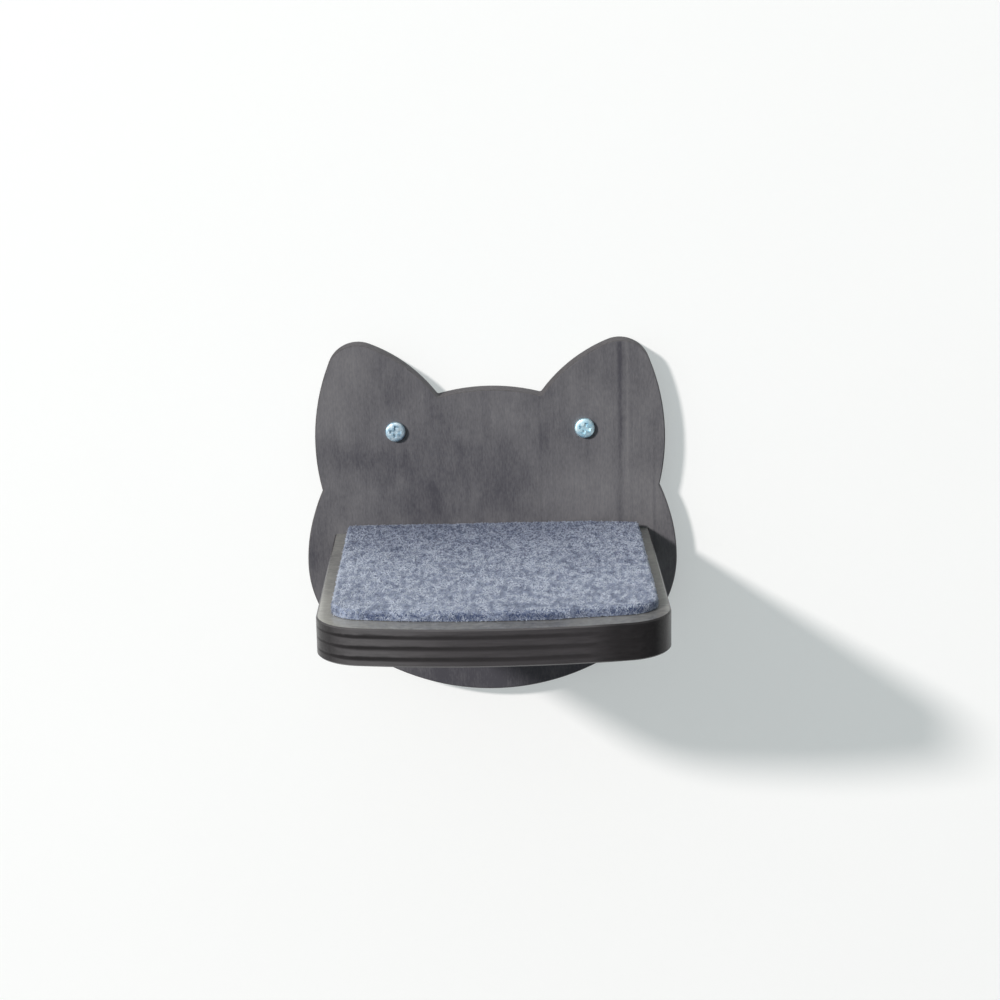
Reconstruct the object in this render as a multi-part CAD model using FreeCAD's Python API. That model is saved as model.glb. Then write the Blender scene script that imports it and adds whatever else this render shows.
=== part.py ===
import FreeCAD, Part
import math
import os

# Cat wall step: a plywood cat head is screwed flat to a wall and carries a carpeted step board.
# X points right, Y into the wall and Z up, in millimetres.
# The origin lies on the wall plane, midway between the axes of the two wall screws.

# Back plate: heights are counted from the line through the two wall screws
PLATE_THICKNESS = 12.0
PLATE_HEIGHT = 187.4
HEAD_WIDTH = 194.6
CROWN_RISE = 21.0
CHEEK_DROP = 70.5
EAR_SPAN = 182.6
EAR_TIP_RISE = 45.7
EAR_TIP_INSET = 23.2
EAR_TIP_RADIUS = 16.5
EAR_OUTER_RADIUS = 110.0
EAR_INNER_RADIUS = 80.0
EAR_GAP = 54.0
NOTCH_RADIUS = 1.5
PLATE_EDGE_EASE = 0.6

# Step board: its rear edge butts against the front of the plate
STEP_WIDTH = 165.0
STEP_DEPTH = 180.0
STEP_THICKNESS = 18.0
STEP_DROP = 54.5
STEP_BOW = 10.0
STEP_CORNER_RADIUS = 24.0
STEP_EDGE_EASE = 0.7

# Carpet pad on the step, and the double-sided tape that holds it
PAD_THICKNESS = 4.2
PAD_SIDE_MARGIN = 6.0
PAD_FRONT_MARGIN = 12.0
PAD_PLATE_GAP = 0.3
PAD_CORNER_RADIUS = 8.0
PAD_EDGE_ROUND = 1.2
TAPE_THICKNESS = 0.25
TAPE_WIDTH = 20.0
TAPE_SIDE_MARGIN = 12.5
TAPE_END_MARGIN = 6.0

# Pan-head wall screws: the heads seat on the front of the plate
WALL_SCREW_SPACING = 98.5
WALL_HEAD_RADIUS = 5.0
WALL_HEAD_HEIGHT = 2.9
WALL_HEAD_RIM = 1.9
WALL_SHANK_RADIUS = 1.8
WALL_THREAD_RADIUS = 2.5
WALL_THREAD_START = 2.0
WALL_SCREW_REACH = 38.0
WALL_TIP_LENGTH = 5.0
WALL_HOLE_CLEARANCE = 0.35

# Countersunk screws: driven from behind the plate into the rear edge of the step
STEP_SCREW_SIDE_MARGIN = 27.5
STEP_SCREW_LENGTH = 50.0
STEP_HEAD_RADIUS = 4.0
STEP_HEAD_SINK = 0.3
STEP_THREAD_RADIUS = 2.0
STEP_TIP_LENGTH = 5.0
STEP_HOLE_CLEARANCE = 0.25
STEP_BITE_CLEARANCE = 0.05

# Glued dowels, each midway between two step screws: they keep the step from turning
DOWEL_RADIUS = 4.0
DOWEL_LENGTH = 30.0
DOWEL_IN_PLATE = 8.0
DOWEL_CHAMFER = 1.0
DOWEL_CLEARANCE = 0.05
DOWEL_END_ROOM = 0.5

# Places that follow from the sizes above
PLATE_FRONT = -PLATE_THICKNESS
CHIN_DROP = PLATE_HEIGHT - EAR_TIP_RISE
STEP_FRONT = PLATE_FRONT - STEP_DEPTH
STEP_TOP = -STEP_DROP
STEP_MIDDLE = STEP_TOP - STEP_THICKNESS / 2
STEP_BOW_RADIUS = ((STEP_WIDTH / 2) ** 2 + STEP_BOW ** 2) / (2 * STEP_BOW)
BOW_CENTRE = STEP_FRONT + STEP_BOW_RADIUS
PAD_BOTTOM = STEP_TOP + TAPE_THICKNESS
PAD_BACK = PLATE_FRONT - PAD_PLATE_GAP
PAD_FRONT = STEP_FRONT + PAD_FRONT_MARGIN
PAD_WIDTH = STEP_WIDTH - 2 * PAD_SIDE_MARGIN
TAPE_SPACING = PAD_WIDTH / 2 - TAPE_SIDE_MARGIN - TAPE_WIDTH / 2
STEP_SCREW_SPACING = STEP_WIDTH / 2 - STEP_SCREW_SIDE_MARGIN
WALL_SCREW_PLACES = {
    "left": -WALL_SCREW_SPACING / 2,
    "right": WALL_SCREW_SPACING / 2,
}
STEP_SCREW_PLACES = {
    "left": -STEP_SCREW_SPACING,
    "centre": 0.0,
    "right": STEP_SCREW_SPACING,
}
DOWEL_PLACES = {
    "left": -STEP_SCREW_SPACING / 2,
    "right": STEP_SCREW_SPACING / 2,
}
TAPE_PLACES = {
    "left": -TAPE_SPACING,
    "centre": 0.0,
    "right": TAPE_SPACING,
}

# How far round the arc of a cheek runs before the long arc of the crown or the chin takes over, in degrees
CROWN_JOIN_ANGLE = 47.2
CHIN_JOIN_ANGLE = 50.0
# Two lengths closer than this are the same place on a solid
SAME_PLACE = 1e-4
# Walls that meet at more than this angle make a corner, in degrees
CORNER_ANGLE = 5.0

INTO_WALL = FreeCAD.Vector(0, 1, 0)
UP = FreeCAD.Vector(0, 0, 1)


def point(x, y, z):
    """A point in the frame of the step."""
    return FreeCAD.Vector(x, y, z)


def line(start, end):
    """A straight edge between two points."""
    return Part.LineSegment(start, end).toShape()


def on_circle(centre, radius, towards):
    """The point of a circle that lies from its centre towards another point."""
    return centre + (towards - centre).normalize() * radius


def arc_about(centre, radius, start, end):
    """The short arc of a circle between two of its points."""
    middle = on_circle(centre, radius, (start + end) / 2)
    return Part.Arc(start, middle, end).toShape()


def turned(edges, x=0.0, z=0.0):
    """A closed half profile in the XY plane turned about Y, then set on the axis through x and z."""
    solid = Part.Face(Part.Wire(edges)).revolve(point(0, 0, 0), INTO_WALL, 360)
    solid.translate(point(x, 0, z))
    return solid


def turned_points(points, x=0.0, z=0.0):
    """A turned solid whose profile is straight between points given as radius and place along Y."""
    corners = [point(radius, y, 0) for radius, y in points]
    return turned(Part.makePolygon(corners + corners[:1]).Edges, x, z)


def oval_radii(half_width, rise, join_angle):
    """The radius of a half oval's two ends, and of the long arc that joins them at its full rise."""
    sine = math.sin(math.radians(join_angle))
    cosine = math.cos(math.radians(join_angle))
    over = sine + cosine - 1
    end = (rise * cosine - half_width * (1 - sine)) / over
    joining = (half_width * sine - rise * (1 - cosine)) / over
    return end, joining


def half_oval(half_width, rise, way, join_angle):
    """Half an oval on the X axis in three arcs that meet smoothly; its way is 1 upwards and -1 downwards."""
    end = oval_radii(half_width, rise, join_angle)[0]
    end_x = half_width - end
    join_x = end_x + end * math.cos(math.radians(join_angle))
    join_z = way * end * math.sin(math.radians(join_angle))
    right_join = point(join_x, 0, join_z)
    left_join = point(-join_x, 0, join_z)
    right_side = arc_about(point(end_x, 0, 0), end, point(half_width, 0, 0), right_join)
    left_side = arc_about(point(-end_x, 0, 0), end, point(-half_width, 0, 0), left_join)
    return [right_side, Part.Arc(right_join, point(0, 0, way * rise), left_join).toShape(), left_side]


def head_face():
    """The oval of the head: a high half oval over a flatter one, both as wide as the cheeks."""
    upper = half_oval(HEAD_WIDTH / 2, CHEEK_DROP + CROWN_RISE, 1, CROWN_JOIN_ANGLE)
    lower = half_oval(HEAD_WIDTH / 2, CHIN_DROP - CHEEK_DROP, -1, CHIN_JOIN_ANGLE)
    face = Part.Face(Part.Wire(upper + lower[::-1]))
    face.translate(point(0, 0, -CHEEK_DROP))
    return face


def crown_height(x):
    """The height of the crown's long arc at a distance from the middle."""
    joining = oval_radii(HEAD_WIDTH / 2, CHEEK_DROP + CROWN_RISE, CROWN_JOIN_ANGLE)[1]
    return CROWN_RISE - joining + math.sqrt(joining ** 2 - x ** 2)


def inner_ear_centre(tip_centre, notch):
    """The centre of the arc that leaves the round tip smoothly and runs down to the notch."""
    to_tip = EAR_INNER_RADIUS - EAR_TIP_RADIUS
    gap = tip_centre - notch
    span = gap.Length
    along = (EAR_INNER_RADIUS ** 2 - to_tip ** 2 + span ** 2) / (2 * span)
    aside = math.sqrt(EAR_INNER_RADIUS ** 2 - along ** 2)
    direction = gap / span
    outwards = point(direction.z, 0, -direction.x)
    return notch + direction * along + outwards * aside


def ear_face():
    """The right ear: an outer arc, a round tip and an inner arc, closed by a chord inside the head."""
    tip_centre = point(EAR_SPAN / 2 - EAR_TIP_INSET, 0, EAR_TIP_RISE - EAR_TIP_RADIUS)
    outer_x = EAR_SPAN / 2 - EAR_OUTER_RADIUS
    reach = EAR_OUTER_RADIUS - EAR_TIP_RADIUS
    outer_drop = math.sqrt(reach ** 2 - (tip_centre.x - outer_x) ** 2)
    outer_centre = point(outer_x, 0, tip_centre.z - outer_drop)
    notch = point(EAR_GAP / 2, 0, crown_height(EAR_GAP / 2))
    inner_centre = inner_ear_centre(tip_centre, notch)

    outer_width = math.sqrt(EAR_OUTER_RADIUS ** 2 - (outer_centre.z + CHEEK_DROP) ** 2)
    outer_foot = point(outer_x + outer_width, 0, -CHEEK_DROP)
    inner_foot = inner_centre - point(EAR_INNER_RADIUS, 0, 0)
    outer_tip = on_circle(outer_centre, EAR_OUTER_RADIUS, tip_centre)
    inner_tip = on_circle(inner_centre, EAR_INNER_RADIUS, tip_centre)
    edges = [
        arc_about(outer_centre, EAR_OUTER_RADIUS, outer_foot, outer_tip),
        arc_about(tip_centre, EAR_TIP_RADIUS, outer_tip, inner_tip),
        arc_about(inner_centre, EAR_INNER_RADIUS, inner_tip, inner_foot),
        line(inner_foot, outer_foot),
    ]
    return Part.Face(Part.Wire(edges))


def outline_corners(plate):
    """The edges through the thickness at which two walls of the outline meet at an angle."""
    corners = []
    for edge in plate.Edges:
        start, end = edge.Vertexes[0].Point, edge.Vertexes[-1].Point
        if abs(abs(end.y - start.y) - PLATE_THICKNESS) > SAME_PLACE:
            continue
        walls = plate.ancestorsOfType(edge, Part.Face)
        middle = (start + end) / 2
        normals = [wall.normalAt(*wall.Surface.parameter(middle)) for wall in walls]
        if math.degrees(normals[0].getAngle(normals[1])) > CORNER_ANGLE:
            corners.append(edge)
    return corners


def face_outline(solid, y):
    """The outer edges of the flat face of a plate that lies at y."""
    for face in solid.Faces:
        box = face.BoundBox
        if abs(box.YMin - y) < SAME_PLACE and abs(box.YMax - y) < SAME_PLACE:
            return face.OuterWire.Edges
    return []


def wall_screw_hole(x):
    """A clear hole for a wall screw, right through the plate."""
    radius = WALL_THREAD_RADIUS + WALL_HOLE_CLEARANCE
    return Part.makeCylinder(radius, PLATE_THICKNESS, point(x, PLATE_FRONT, 0), INTO_WALL)


def step_screw_hole(x):
    """A clear hole for a step screw, countersunk from behind so that the head stays below the surface."""
    mouth = STEP_HEAD_RADIUS + STEP_HEAD_SINK + STEP_BITE_CLEARANCE
    bore = STEP_THREAD_RADIUS + STEP_HOLE_CLEARANCE
    profile = [(0, 0), (mouth, 0), (bore, bore - mouth), (bore, PLATE_FRONT), (0, PLATE_FRONT)]
    return turned_points(profile, x, STEP_MIDDLE)


def dowel_hole(x, bottom, depth):
    """A blind dowel hole that starts at its bottom and runs towards the wall."""
    return Part.makeCylinder(DOWEL_RADIUS + DOWEL_CLEARANCE, depth, point(x, bottom, STEP_MIDDLE), INTO_WALL)


def back_plate():
    """The cat head: one outline of head and ears, with eased edges and its screw and dowel holes."""
    thickness = INTO_WALL * -PLATE_THICKNESS
    head = head_face().extrude(thickness)
    right_ear = ear_face().extrude(thickness)
    left_ear = right_ear.mirror(point(0, 0, 0), point(1, 0, 0))
    plate = head.fuse([right_ear, left_ear]).removeSplitter().Solids[0]
    plate = plate.makeFillet(NOTCH_RADIUS, outline_corners(plate))
    plate = plate.makeChamfer(PLATE_EDGE_EASE, face_outline(plate, PLATE_FRONT) + face_outline(plate, 0))
    holes = [wall_screw_hole(x) for x in WALL_SCREW_PLACES.values()]
    holes += [step_screw_hole(x) for x in STEP_SCREW_PLACES.values()]
    depth = DOWEL_IN_PLATE + DOWEL_END_ROOM
    holes += [dowel_hole(x, PLATE_FRONT, depth) for x in DOWEL_PLACES.values()]
    return plate.cut(holes)


def bow_place(x, front):
    """Where a front edge that bows about the centre of the step's bow runs, at x from the middle."""
    radius = BOW_CENTRE - front
    return BOW_CENTRE - math.sqrt(radius ** 2 - x ** 2)


def bowed_board(half_width, rear, front, bottom, height):
    """A level board with straight sides, a square rear edge and a slightly bowed front edge."""
    side_front = bow_place(half_width, front)
    rear_left = point(-half_width, rear, bottom)
    rear_right = point(half_width, rear, bottom)
    front_left = point(-half_width, side_front, bottom)
    front_right = point(half_width, side_front, bottom)
    edges = [
        line(rear_left, front_left),
        Part.Arc(front_left, point(0, front, bottom), front_right).toShape(),
        line(front_right, rear_right),
        line(rear_right, rear_left),
    ]
    return Part.Face(Part.Wire(edges)).extrude(UP * height)


def upright_edges(solid, behind):
    """The upright edges of a board that stand further from the wall than a given place."""
    edges = []
    for edge in solid.Edges:
        box = edge.BoundBox
        if box.ZLength > SAME_PLACE and box.XLength < SAME_PLACE and box.YMax < behind - SAME_PLACE:
            edges.append(edge)
    return edges


def level_edges(solid, levels, behind):
    """The edges of a board at some levels, without those that lie on its rear face."""
    edges = []
    for edge in solid.Edges:
        box = edge.BoundBox
        flat = box.ZLength < SAME_PLACE
        on_level = any(abs(box.ZMin - level) < SAME_PLACE for level in levels)
        if flat and on_level and box.YMin < behind - SAME_PLACE:
            edges.append(edge)
    return edges


def step_screw_bite(x):
    """The space that the thread of a step screw takes up in the rear edge of the board."""
    radius = STEP_THREAD_RADIUS + STEP_BITE_CLEARANCE
    tip = -STEP_HEAD_SINK - STEP_SCREW_LENGTH
    shoulder = tip + STEP_TIP_LENGTH
    below_tip = tip - STEP_BITE_CLEARANCE
    profile = [(0, PLATE_FRONT), (radius, PLATE_FRONT), (radius, shoulder), (0, below_tip)]
    return turned_points(profile, x, STEP_MIDDLE)


def step_board():
    """The step: a bowed board with round front corners, eased edges and holes in its rear edge."""
    bottom = STEP_TOP - STEP_THICKNESS
    board = bowed_board(STEP_WIDTH / 2, PLATE_FRONT, STEP_FRONT, bottom, STEP_THICKNESS)
    board = board.makeFillet(STEP_CORNER_RADIUS, upright_edges(board, PLATE_FRONT))
    board = board.makeChamfer(STEP_EDGE_EASE, level_edges(board, [bottom, STEP_TOP], PLATE_FRONT))

    in_board = DOWEL_LENGTH - DOWEL_IN_PLATE + DOWEL_END_ROOM
    holes = [dowel_hole(x, PLATE_FRONT - in_board, in_board) for x in DOWEL_PLACES.values()]
    holes += [step_screw_bite(x) for x in STEP_SCREW_PLACES.values()]
    return board.cut(holes)


def carpet_pad():
    """The carpet: a flat tile that follows the bow of the step, with soft corners and a soft upper edge."""
    pad = bowed_board(PAD_WIDTH / 2, PAD_BACK, PAD_FRONT, PAD_BOTTOM, PAD_THICKNESS)
    pad = pad.makeFillet(PAD_CORNER_RADIUS, upright_edges(pad, PAD_BACK))
    return pad.makeFillet(PAD_EDGE_ROUND, level_edges(pad, [PAD_BOTTOM + PAD_THICKNESS], PAD_BACK))


def pad_tape(x):
    """A strip of double-sided tape between the step and the carpet, short of the carpet at both ends."""
    front = bow_place(PAD_WIDTH / 2, PAD_FRONT) + TAPE_END_MARGIN
    length = PAD_BACK - TAPE_END_MARGIN - front
    return Part.makeBox(TAPE_WIDTH, length, TAPE_THICKNESS, point(x - TAPE_WIDTH / 2, front, STEP_TOP))


def wall_screw(x):
    """A pan-head screw: domed head on the plate, bare shank through it and thread behind it."""
    crown = point(0, PLATE_FRONT - WALL_HEAD_HEIGHT, 0)
    rim = point(WALL_HEAD_RADIUS, PLATE_FRONT - WALL_HEAD_RIM, 0)
    rise = WALL_HEAD_HEIGHT - WALL_HEAD_RIM
    dome_radius = (WALL_HEAD_RADIUS ** 2 + rise ** 2) / (2 * rise)
    dome_centre = crown + INTO_WALL * dome_radius
    tip = point(0, WALL_SCREW_REACH, 0)
    outline = [
        rim,
        point(WALL_HEAD_RADIUS, PLATE_FRONT, 0),
        point(WALL_SHANK_RADIUS, PLATE_FRONT, 0),
        point(WALL_SHANK_RADIUS, WALL_THREAD_START, 0),
        point(WALL_THREAD_RADIUS, WALL_THREAD_START, 0),
        point(WALL_THREAD_RADIUS, WALL_SCREW_REACH - WALL_TIP_LENGTH, 0),
        tip,
        crown,
    ]
    edges = [arc_about(dome_centre, dome_radius, crown, rim)] + Part.makePolygon(outline).Edges
    return turned(edges, x)


def step_screw(x):
    """A countersunk screw, its flat head just below the back of the plate."""
    back = -STEP_HEAD_SINK
    neck = back - (STEP_HEAD_RADIUS - STEP_THREAD_RADIUS)
    tip = back - STEP_SCREW_LENGTH
    profile = [
        (0, back),
        (STEP_HEAD_RADIUS, back),
        (STEP_THREAD_RADIUS, neck),
        (STEP_THREAD_RADIUS, tip + STEP_TIP_LENGTH),
        (0, tip),
    ]
    return turned_points(profile, x, STEP_MIDDLE)


def dowel(x):
    """A round wooden dowel with chamfered ends, its short end in the plate and its long end in the step."""
    back = PLATE_FRONT + DOWEL_IN_PLATE
    front = back - DOWEL_LENGTH
    profile = [
        (0, back),
        (DOWEL_RADIUS - DOWEL_CHAMFER, back),
        (DOWEL_RADIUS, back - DOWEL_CHAMFER),
        (DOWEL_RADIUS, front + DOWEL_CHAMFER),
        (DOWEL_RADIUS - DOWEL_CHAMFER, front),
        (0, front),
    ]
    return turned_points(profile, x, STEP_MIDDLE)


def pieces():
    """Every piece of the step by its node's name."""
    made = {
        "back_plate": back_plate(),
        "step_board": step_board(),
        "carpet_pad": carpet_pad(),
    }
    for side, x in TAPE_PLACES.items():
        made["pad_tape_" + side] = pad_tape(x)
    for side, x in WALL_SCREW_PLACES.items():
        made["wall_screw_" + side] = wall_screw(x)
    for side, x in STEP_SCREW_PLACES.items():
        made["step_screw_" + side] = step_screw(x)
    for side, x in DOWEL_PLACES.items():
        made["dowel_" + side] = dowel(x)
    return made


os.makedirs("parts", exist_ok=True)
for name, shape in pieces().items():
    shape.exportStep("parts/" + name + ".step")
    print(name, shape.ShapeType, len(shape.Solids), shape.isValid(), round(shape.Volume, 1), "mm3")
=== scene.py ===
"""Looks of the cat wall step: stained plywood, a felt carpet pad and zinc-plated screws on a white wall."""

import logging
import math
import random
from dataclasses import dataclass, replace
from enum import Enum, IntEnum
from itertools import accumulate
from typing import Any

import bmesh
import bpy
from bpy.types import Material, Mesh, Node, NodeOutputs, NodeSocket, NodeTree, Object
from mathutils import Matrix, Vector, noise


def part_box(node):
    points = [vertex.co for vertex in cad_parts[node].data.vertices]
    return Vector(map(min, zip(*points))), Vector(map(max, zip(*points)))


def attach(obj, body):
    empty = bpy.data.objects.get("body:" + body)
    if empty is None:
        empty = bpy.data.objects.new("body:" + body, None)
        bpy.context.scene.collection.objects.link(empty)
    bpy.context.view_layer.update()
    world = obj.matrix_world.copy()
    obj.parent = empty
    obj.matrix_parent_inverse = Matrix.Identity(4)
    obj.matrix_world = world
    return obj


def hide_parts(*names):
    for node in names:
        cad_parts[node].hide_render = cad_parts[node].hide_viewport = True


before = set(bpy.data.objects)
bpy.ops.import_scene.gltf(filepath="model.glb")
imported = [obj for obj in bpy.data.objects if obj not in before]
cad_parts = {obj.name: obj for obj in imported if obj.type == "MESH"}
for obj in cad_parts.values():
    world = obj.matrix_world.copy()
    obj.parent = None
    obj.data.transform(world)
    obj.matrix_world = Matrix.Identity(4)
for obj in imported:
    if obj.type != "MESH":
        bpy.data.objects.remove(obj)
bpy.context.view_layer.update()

LOG = logging.getLogger("cat_wall_step")
MM = 0.001
BODY = "root"
IMAGE_PX = 1000
FULL_TURN = 2 * math.pi
# Points of a mesh that are closer than this are one
SAME_PLACE = 1e-7
# The middle of a noise, which is spread from none to full, for a firm pattern and for a soft one
FIRM = (0.35, 0.65)
SOFT = (0.3, 0.7)

# The kinds of node that come up often
MATH = "ShaderNodeMath"
VECTOR = "ShaderNodeVectorMath"
RANGE = "ShaderNodeMapRange"
MIX = "ShaderNodeMix"
NOISE = "ShaderNodeTexNoise"
APART = "ShaderNodeSeparateXYZ"
JOINED = "ShaderNodeCombineXYZ"
PRINCIPLED = "ShaderNodeBsdfPrincipled"
RANDOM = "FunctionNodeRandomValue"
COMPARE = "FunctionNodeCompare"
# The ends of a range node's two spans
FROM = ("From Min", "From Max")
TO = ("To Min", "To Max")


class Axis(IntEnum):
    """A direction of the part's frame: X right, Y into the wall, Z up."""

    X = 0
    Y = 1
    Z = 2


def linear(colour: str) -> tuple[float, float, float, float]:
    """Turn an sRGB hex colour into linear light.

    Args:
        colour: The colour as #RRGGBB.

    Returns:
        Red, green, blue and an alpha of 1.
    """
    shares = [int(colour[i:i + 2], 16) / 255 for i in (1, 3, 5)]
    red, green, blue = [s / 12.92 if s <= 0.04045 else ((s + 0.055) / 1.055) ** 2.4 for s in shares]
    return red, green, blue, 1.0


def add(tree: NodeTree, kind: str, inputs: dict[Any, Any] | None = None, **settings: Any) -> Node:
    """Add a node with its settings, and fill its inputs with values or links.

    Args:
        tree: The tree that gets the node.
        kind: The node's type.
        inputs: For an input's name or number, its value, a socket, or a node, for its first output in use.
            A tuple of names has a tuple of these.
        settings: The node's own settings, set before its inputs.

    Returns:
        The new node.
    """
    node = tree.nodes.new(kind)
    for name, value in settings.items():
        setattr(node, name, value)
    filled = [pair for key, value in (inputs or {}).items()
              for pair in (zip(key, value) if isinstance(key, tuple) else [(key, value)])]
    for key, value in filled:
        in_use = [s for s in node.inputs if s.enabled]
        socket = node.inputs[key] if isinstance(key, int) else next(s for s in in_use if s.name == key)
        if isinstance(value, Node):
            value = next(s for s in value.outputs if s.enabled)
        if isinstance(value, NodeSocket):
            tree.links.new(value, socket)
        else:
            socket.default_value = value
    return node


def seen_directly(tree: NodeTree) -> Node:
    """Add a switch for what the camera sees itself, or in a mirror, or through glass.

    Args:
        tree: The tree of a material or a world.

    Returns:
        The node that gives 1 for such rays and 0 for the others.
    """
    path = add(tree, "ShaderNodeLightPath").outputs
    seen = add(tree, MATH, {0: path["Is Camera Ray"], 1: path["Is Glossy Ray"]}, operation="MAXIMUM")
    return add(tree, MATH, {0: seen, 1: path["Is Transmission Ray"]}, operation="MAXIMUM")


def new_object(name: str, mesh: Mesh) -> Object:
    """Put a mesh into the scene at the origin.

    Args:
        name: The object's name.
        mesh: Its mesh, already in the part's frame.

    Returns:
        The object.
    """
    mesh.name = name
    made = bpy.data.objects.new(name, mesh)
    bpy.context.scene.collection.objects.link(made)
    return made


def plain_mesh(holder: Object) -> Mesh:
    """Turn an object with modifiers into a plain mesh, and remove the object.

    Args:
        holder: The object that carries the modifiers.

    Returns:
        The evaluated mesh.
    """
    graph = bpy.context.evaluated_depsgraph_get()
    evaluated = holder.evaluated_get(graph)
    mesh = bpy.data.meshes.new_from_object(evaluated, preserve_all_data_layers=True, depsgraph=graph)
    bpy.data.objects.remove(holder)
    return mesh


def mesh_from(shape: bmesh.types.BMesh, name: str) -> Mesh:
    """Close a shape's seams, turn its faces outwards and make it a mesh.

    Args:
        shape: The shape, which is freed.
        name: The mesh's name.

    Returns:
        The mesh.
    """
    bmesh.ops.remove_doubles(shape, verts=shape.verts, dist=SAME_PLACE)
    bmesh.ops.recalc_face_normals(shape, faces=shape.faces)
    mesh = bpy.data.meshes.new(name)
    shape.to_mesh(mesh)
    shape.free()
    return mesh


def smooth(mesh: Mesh, corner_deg: float) -> None:
    """Shade a mesh smoothly, except at corners.

    Args:
        mesh: The mesh.
        corner_deg: Faces that meet at more than this angle keep a crisp edge.
    """
    mesh.shade_smooth()
    mesh.set_sharp_from_angle(angle=math.radians(corner_deg))


def seat(piece: Object, replaced: tuple[str, ...] = ()) -> None:
    """Make a finished piece ride with the part, hide the solids that it stands for, and log its faces.

    Args:
        piece: The piece, in place.
        replaced: The solids that the piece stands for.
    """
    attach(piece, BODY)
    if replaced:
        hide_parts(*replaced)
    LOG.info("%s: %d faces", piece.name, len(piece.data.polygons))


# Finishes


@dataclass(frozen=True)
class Finish:
    """A surface finish that makes its material once."""

    name: str

    def surface(self, tree: NodeTree, place: NodeSocket) -> Node:
        """Build the shader on the object coordinates and return its last node."""
        raise NotImplementedError

    def material(self) -> Material:
        """Return the finish as a material.

        Returns:
            The material, made at the first call.
        """
        made = bpy.data.materials.get(self.name)
        if made is None:
            made = bpy.data.materials.new(self.name)
            made.use_nodes = True
            tree = made.node_tree
            tree.nodes.clear()
            place = add(tree, "ShaderNodeTexCoord").outputs["Object"]
            add(tree, "ShaderNodeOutputMaterial", {"Surface": self.surface(tree, place)})
        return made


@dataclass(frozen=True)
class Streak:
    """A darker or paler line along the grain of a veneer, which fades from one place along it to another."""

    place_mm: float
    width_mm: float
    depth: float
    full_mm: float
    gone_mm: float


@dataclass(frozen=True)
class TonePatch:
    """A soft patch that is darker than what lies round it, or paler where its depth is below 0."""

    # Where the patch starts to fade and where it is gone, in half sizes from its middle, and how ragged it is
    FULL = 0.5
    GONE = 2.0
    RAGGED = 0.8

    across_mm: float
    along_mm: float
    half_width_mm: float
    half_length_mm: float
    depth: float

    def lay(self, tree: NodeTree, place: NodeSocket, axes: tuple[Axis, Axis], ragged: Node) -> Node:
        """Add the patch to a material.

        Args:
            tree: The material's tree.
            place: The object coordinates.
            axes: The axes of the patch's width and length.
            ragged: A noise that makes its outline uneven.

        Returns:
            The node that gives the patch's depth at each place.
        """
        cross, along = axes
        centre, half = [0.0] * 3, [1.0] * 3
        centre[cross], centre[along] = self.across_mm * MM, self.along_mm * MM
        half[cross], half[along] = self.half_width_mm * MM, self.half_length_mm * MM
        away = add(tree, VECTOR, {0: place, 1: centre}, operation="SUBTRACT")
        away = add(tree, VECTOR, {0: away, 1: half}, operation="DIVIDE")
        reach = add(tree, VECTOR, {0: away}, operation="LENGTH").outputs["Value"]
        reach = add(tree, MATH, {0: ragged, 1: self.RAGGED, 2: reach}, operation="MULTIPLY_ADD")
        return add(tree, RANGE, {"Value": reach, FROM: (self.FULL, self.GONE), TO: (self.depth, 0.0)},
                   interpolation_type="SMOOTHSTEP")


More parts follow.
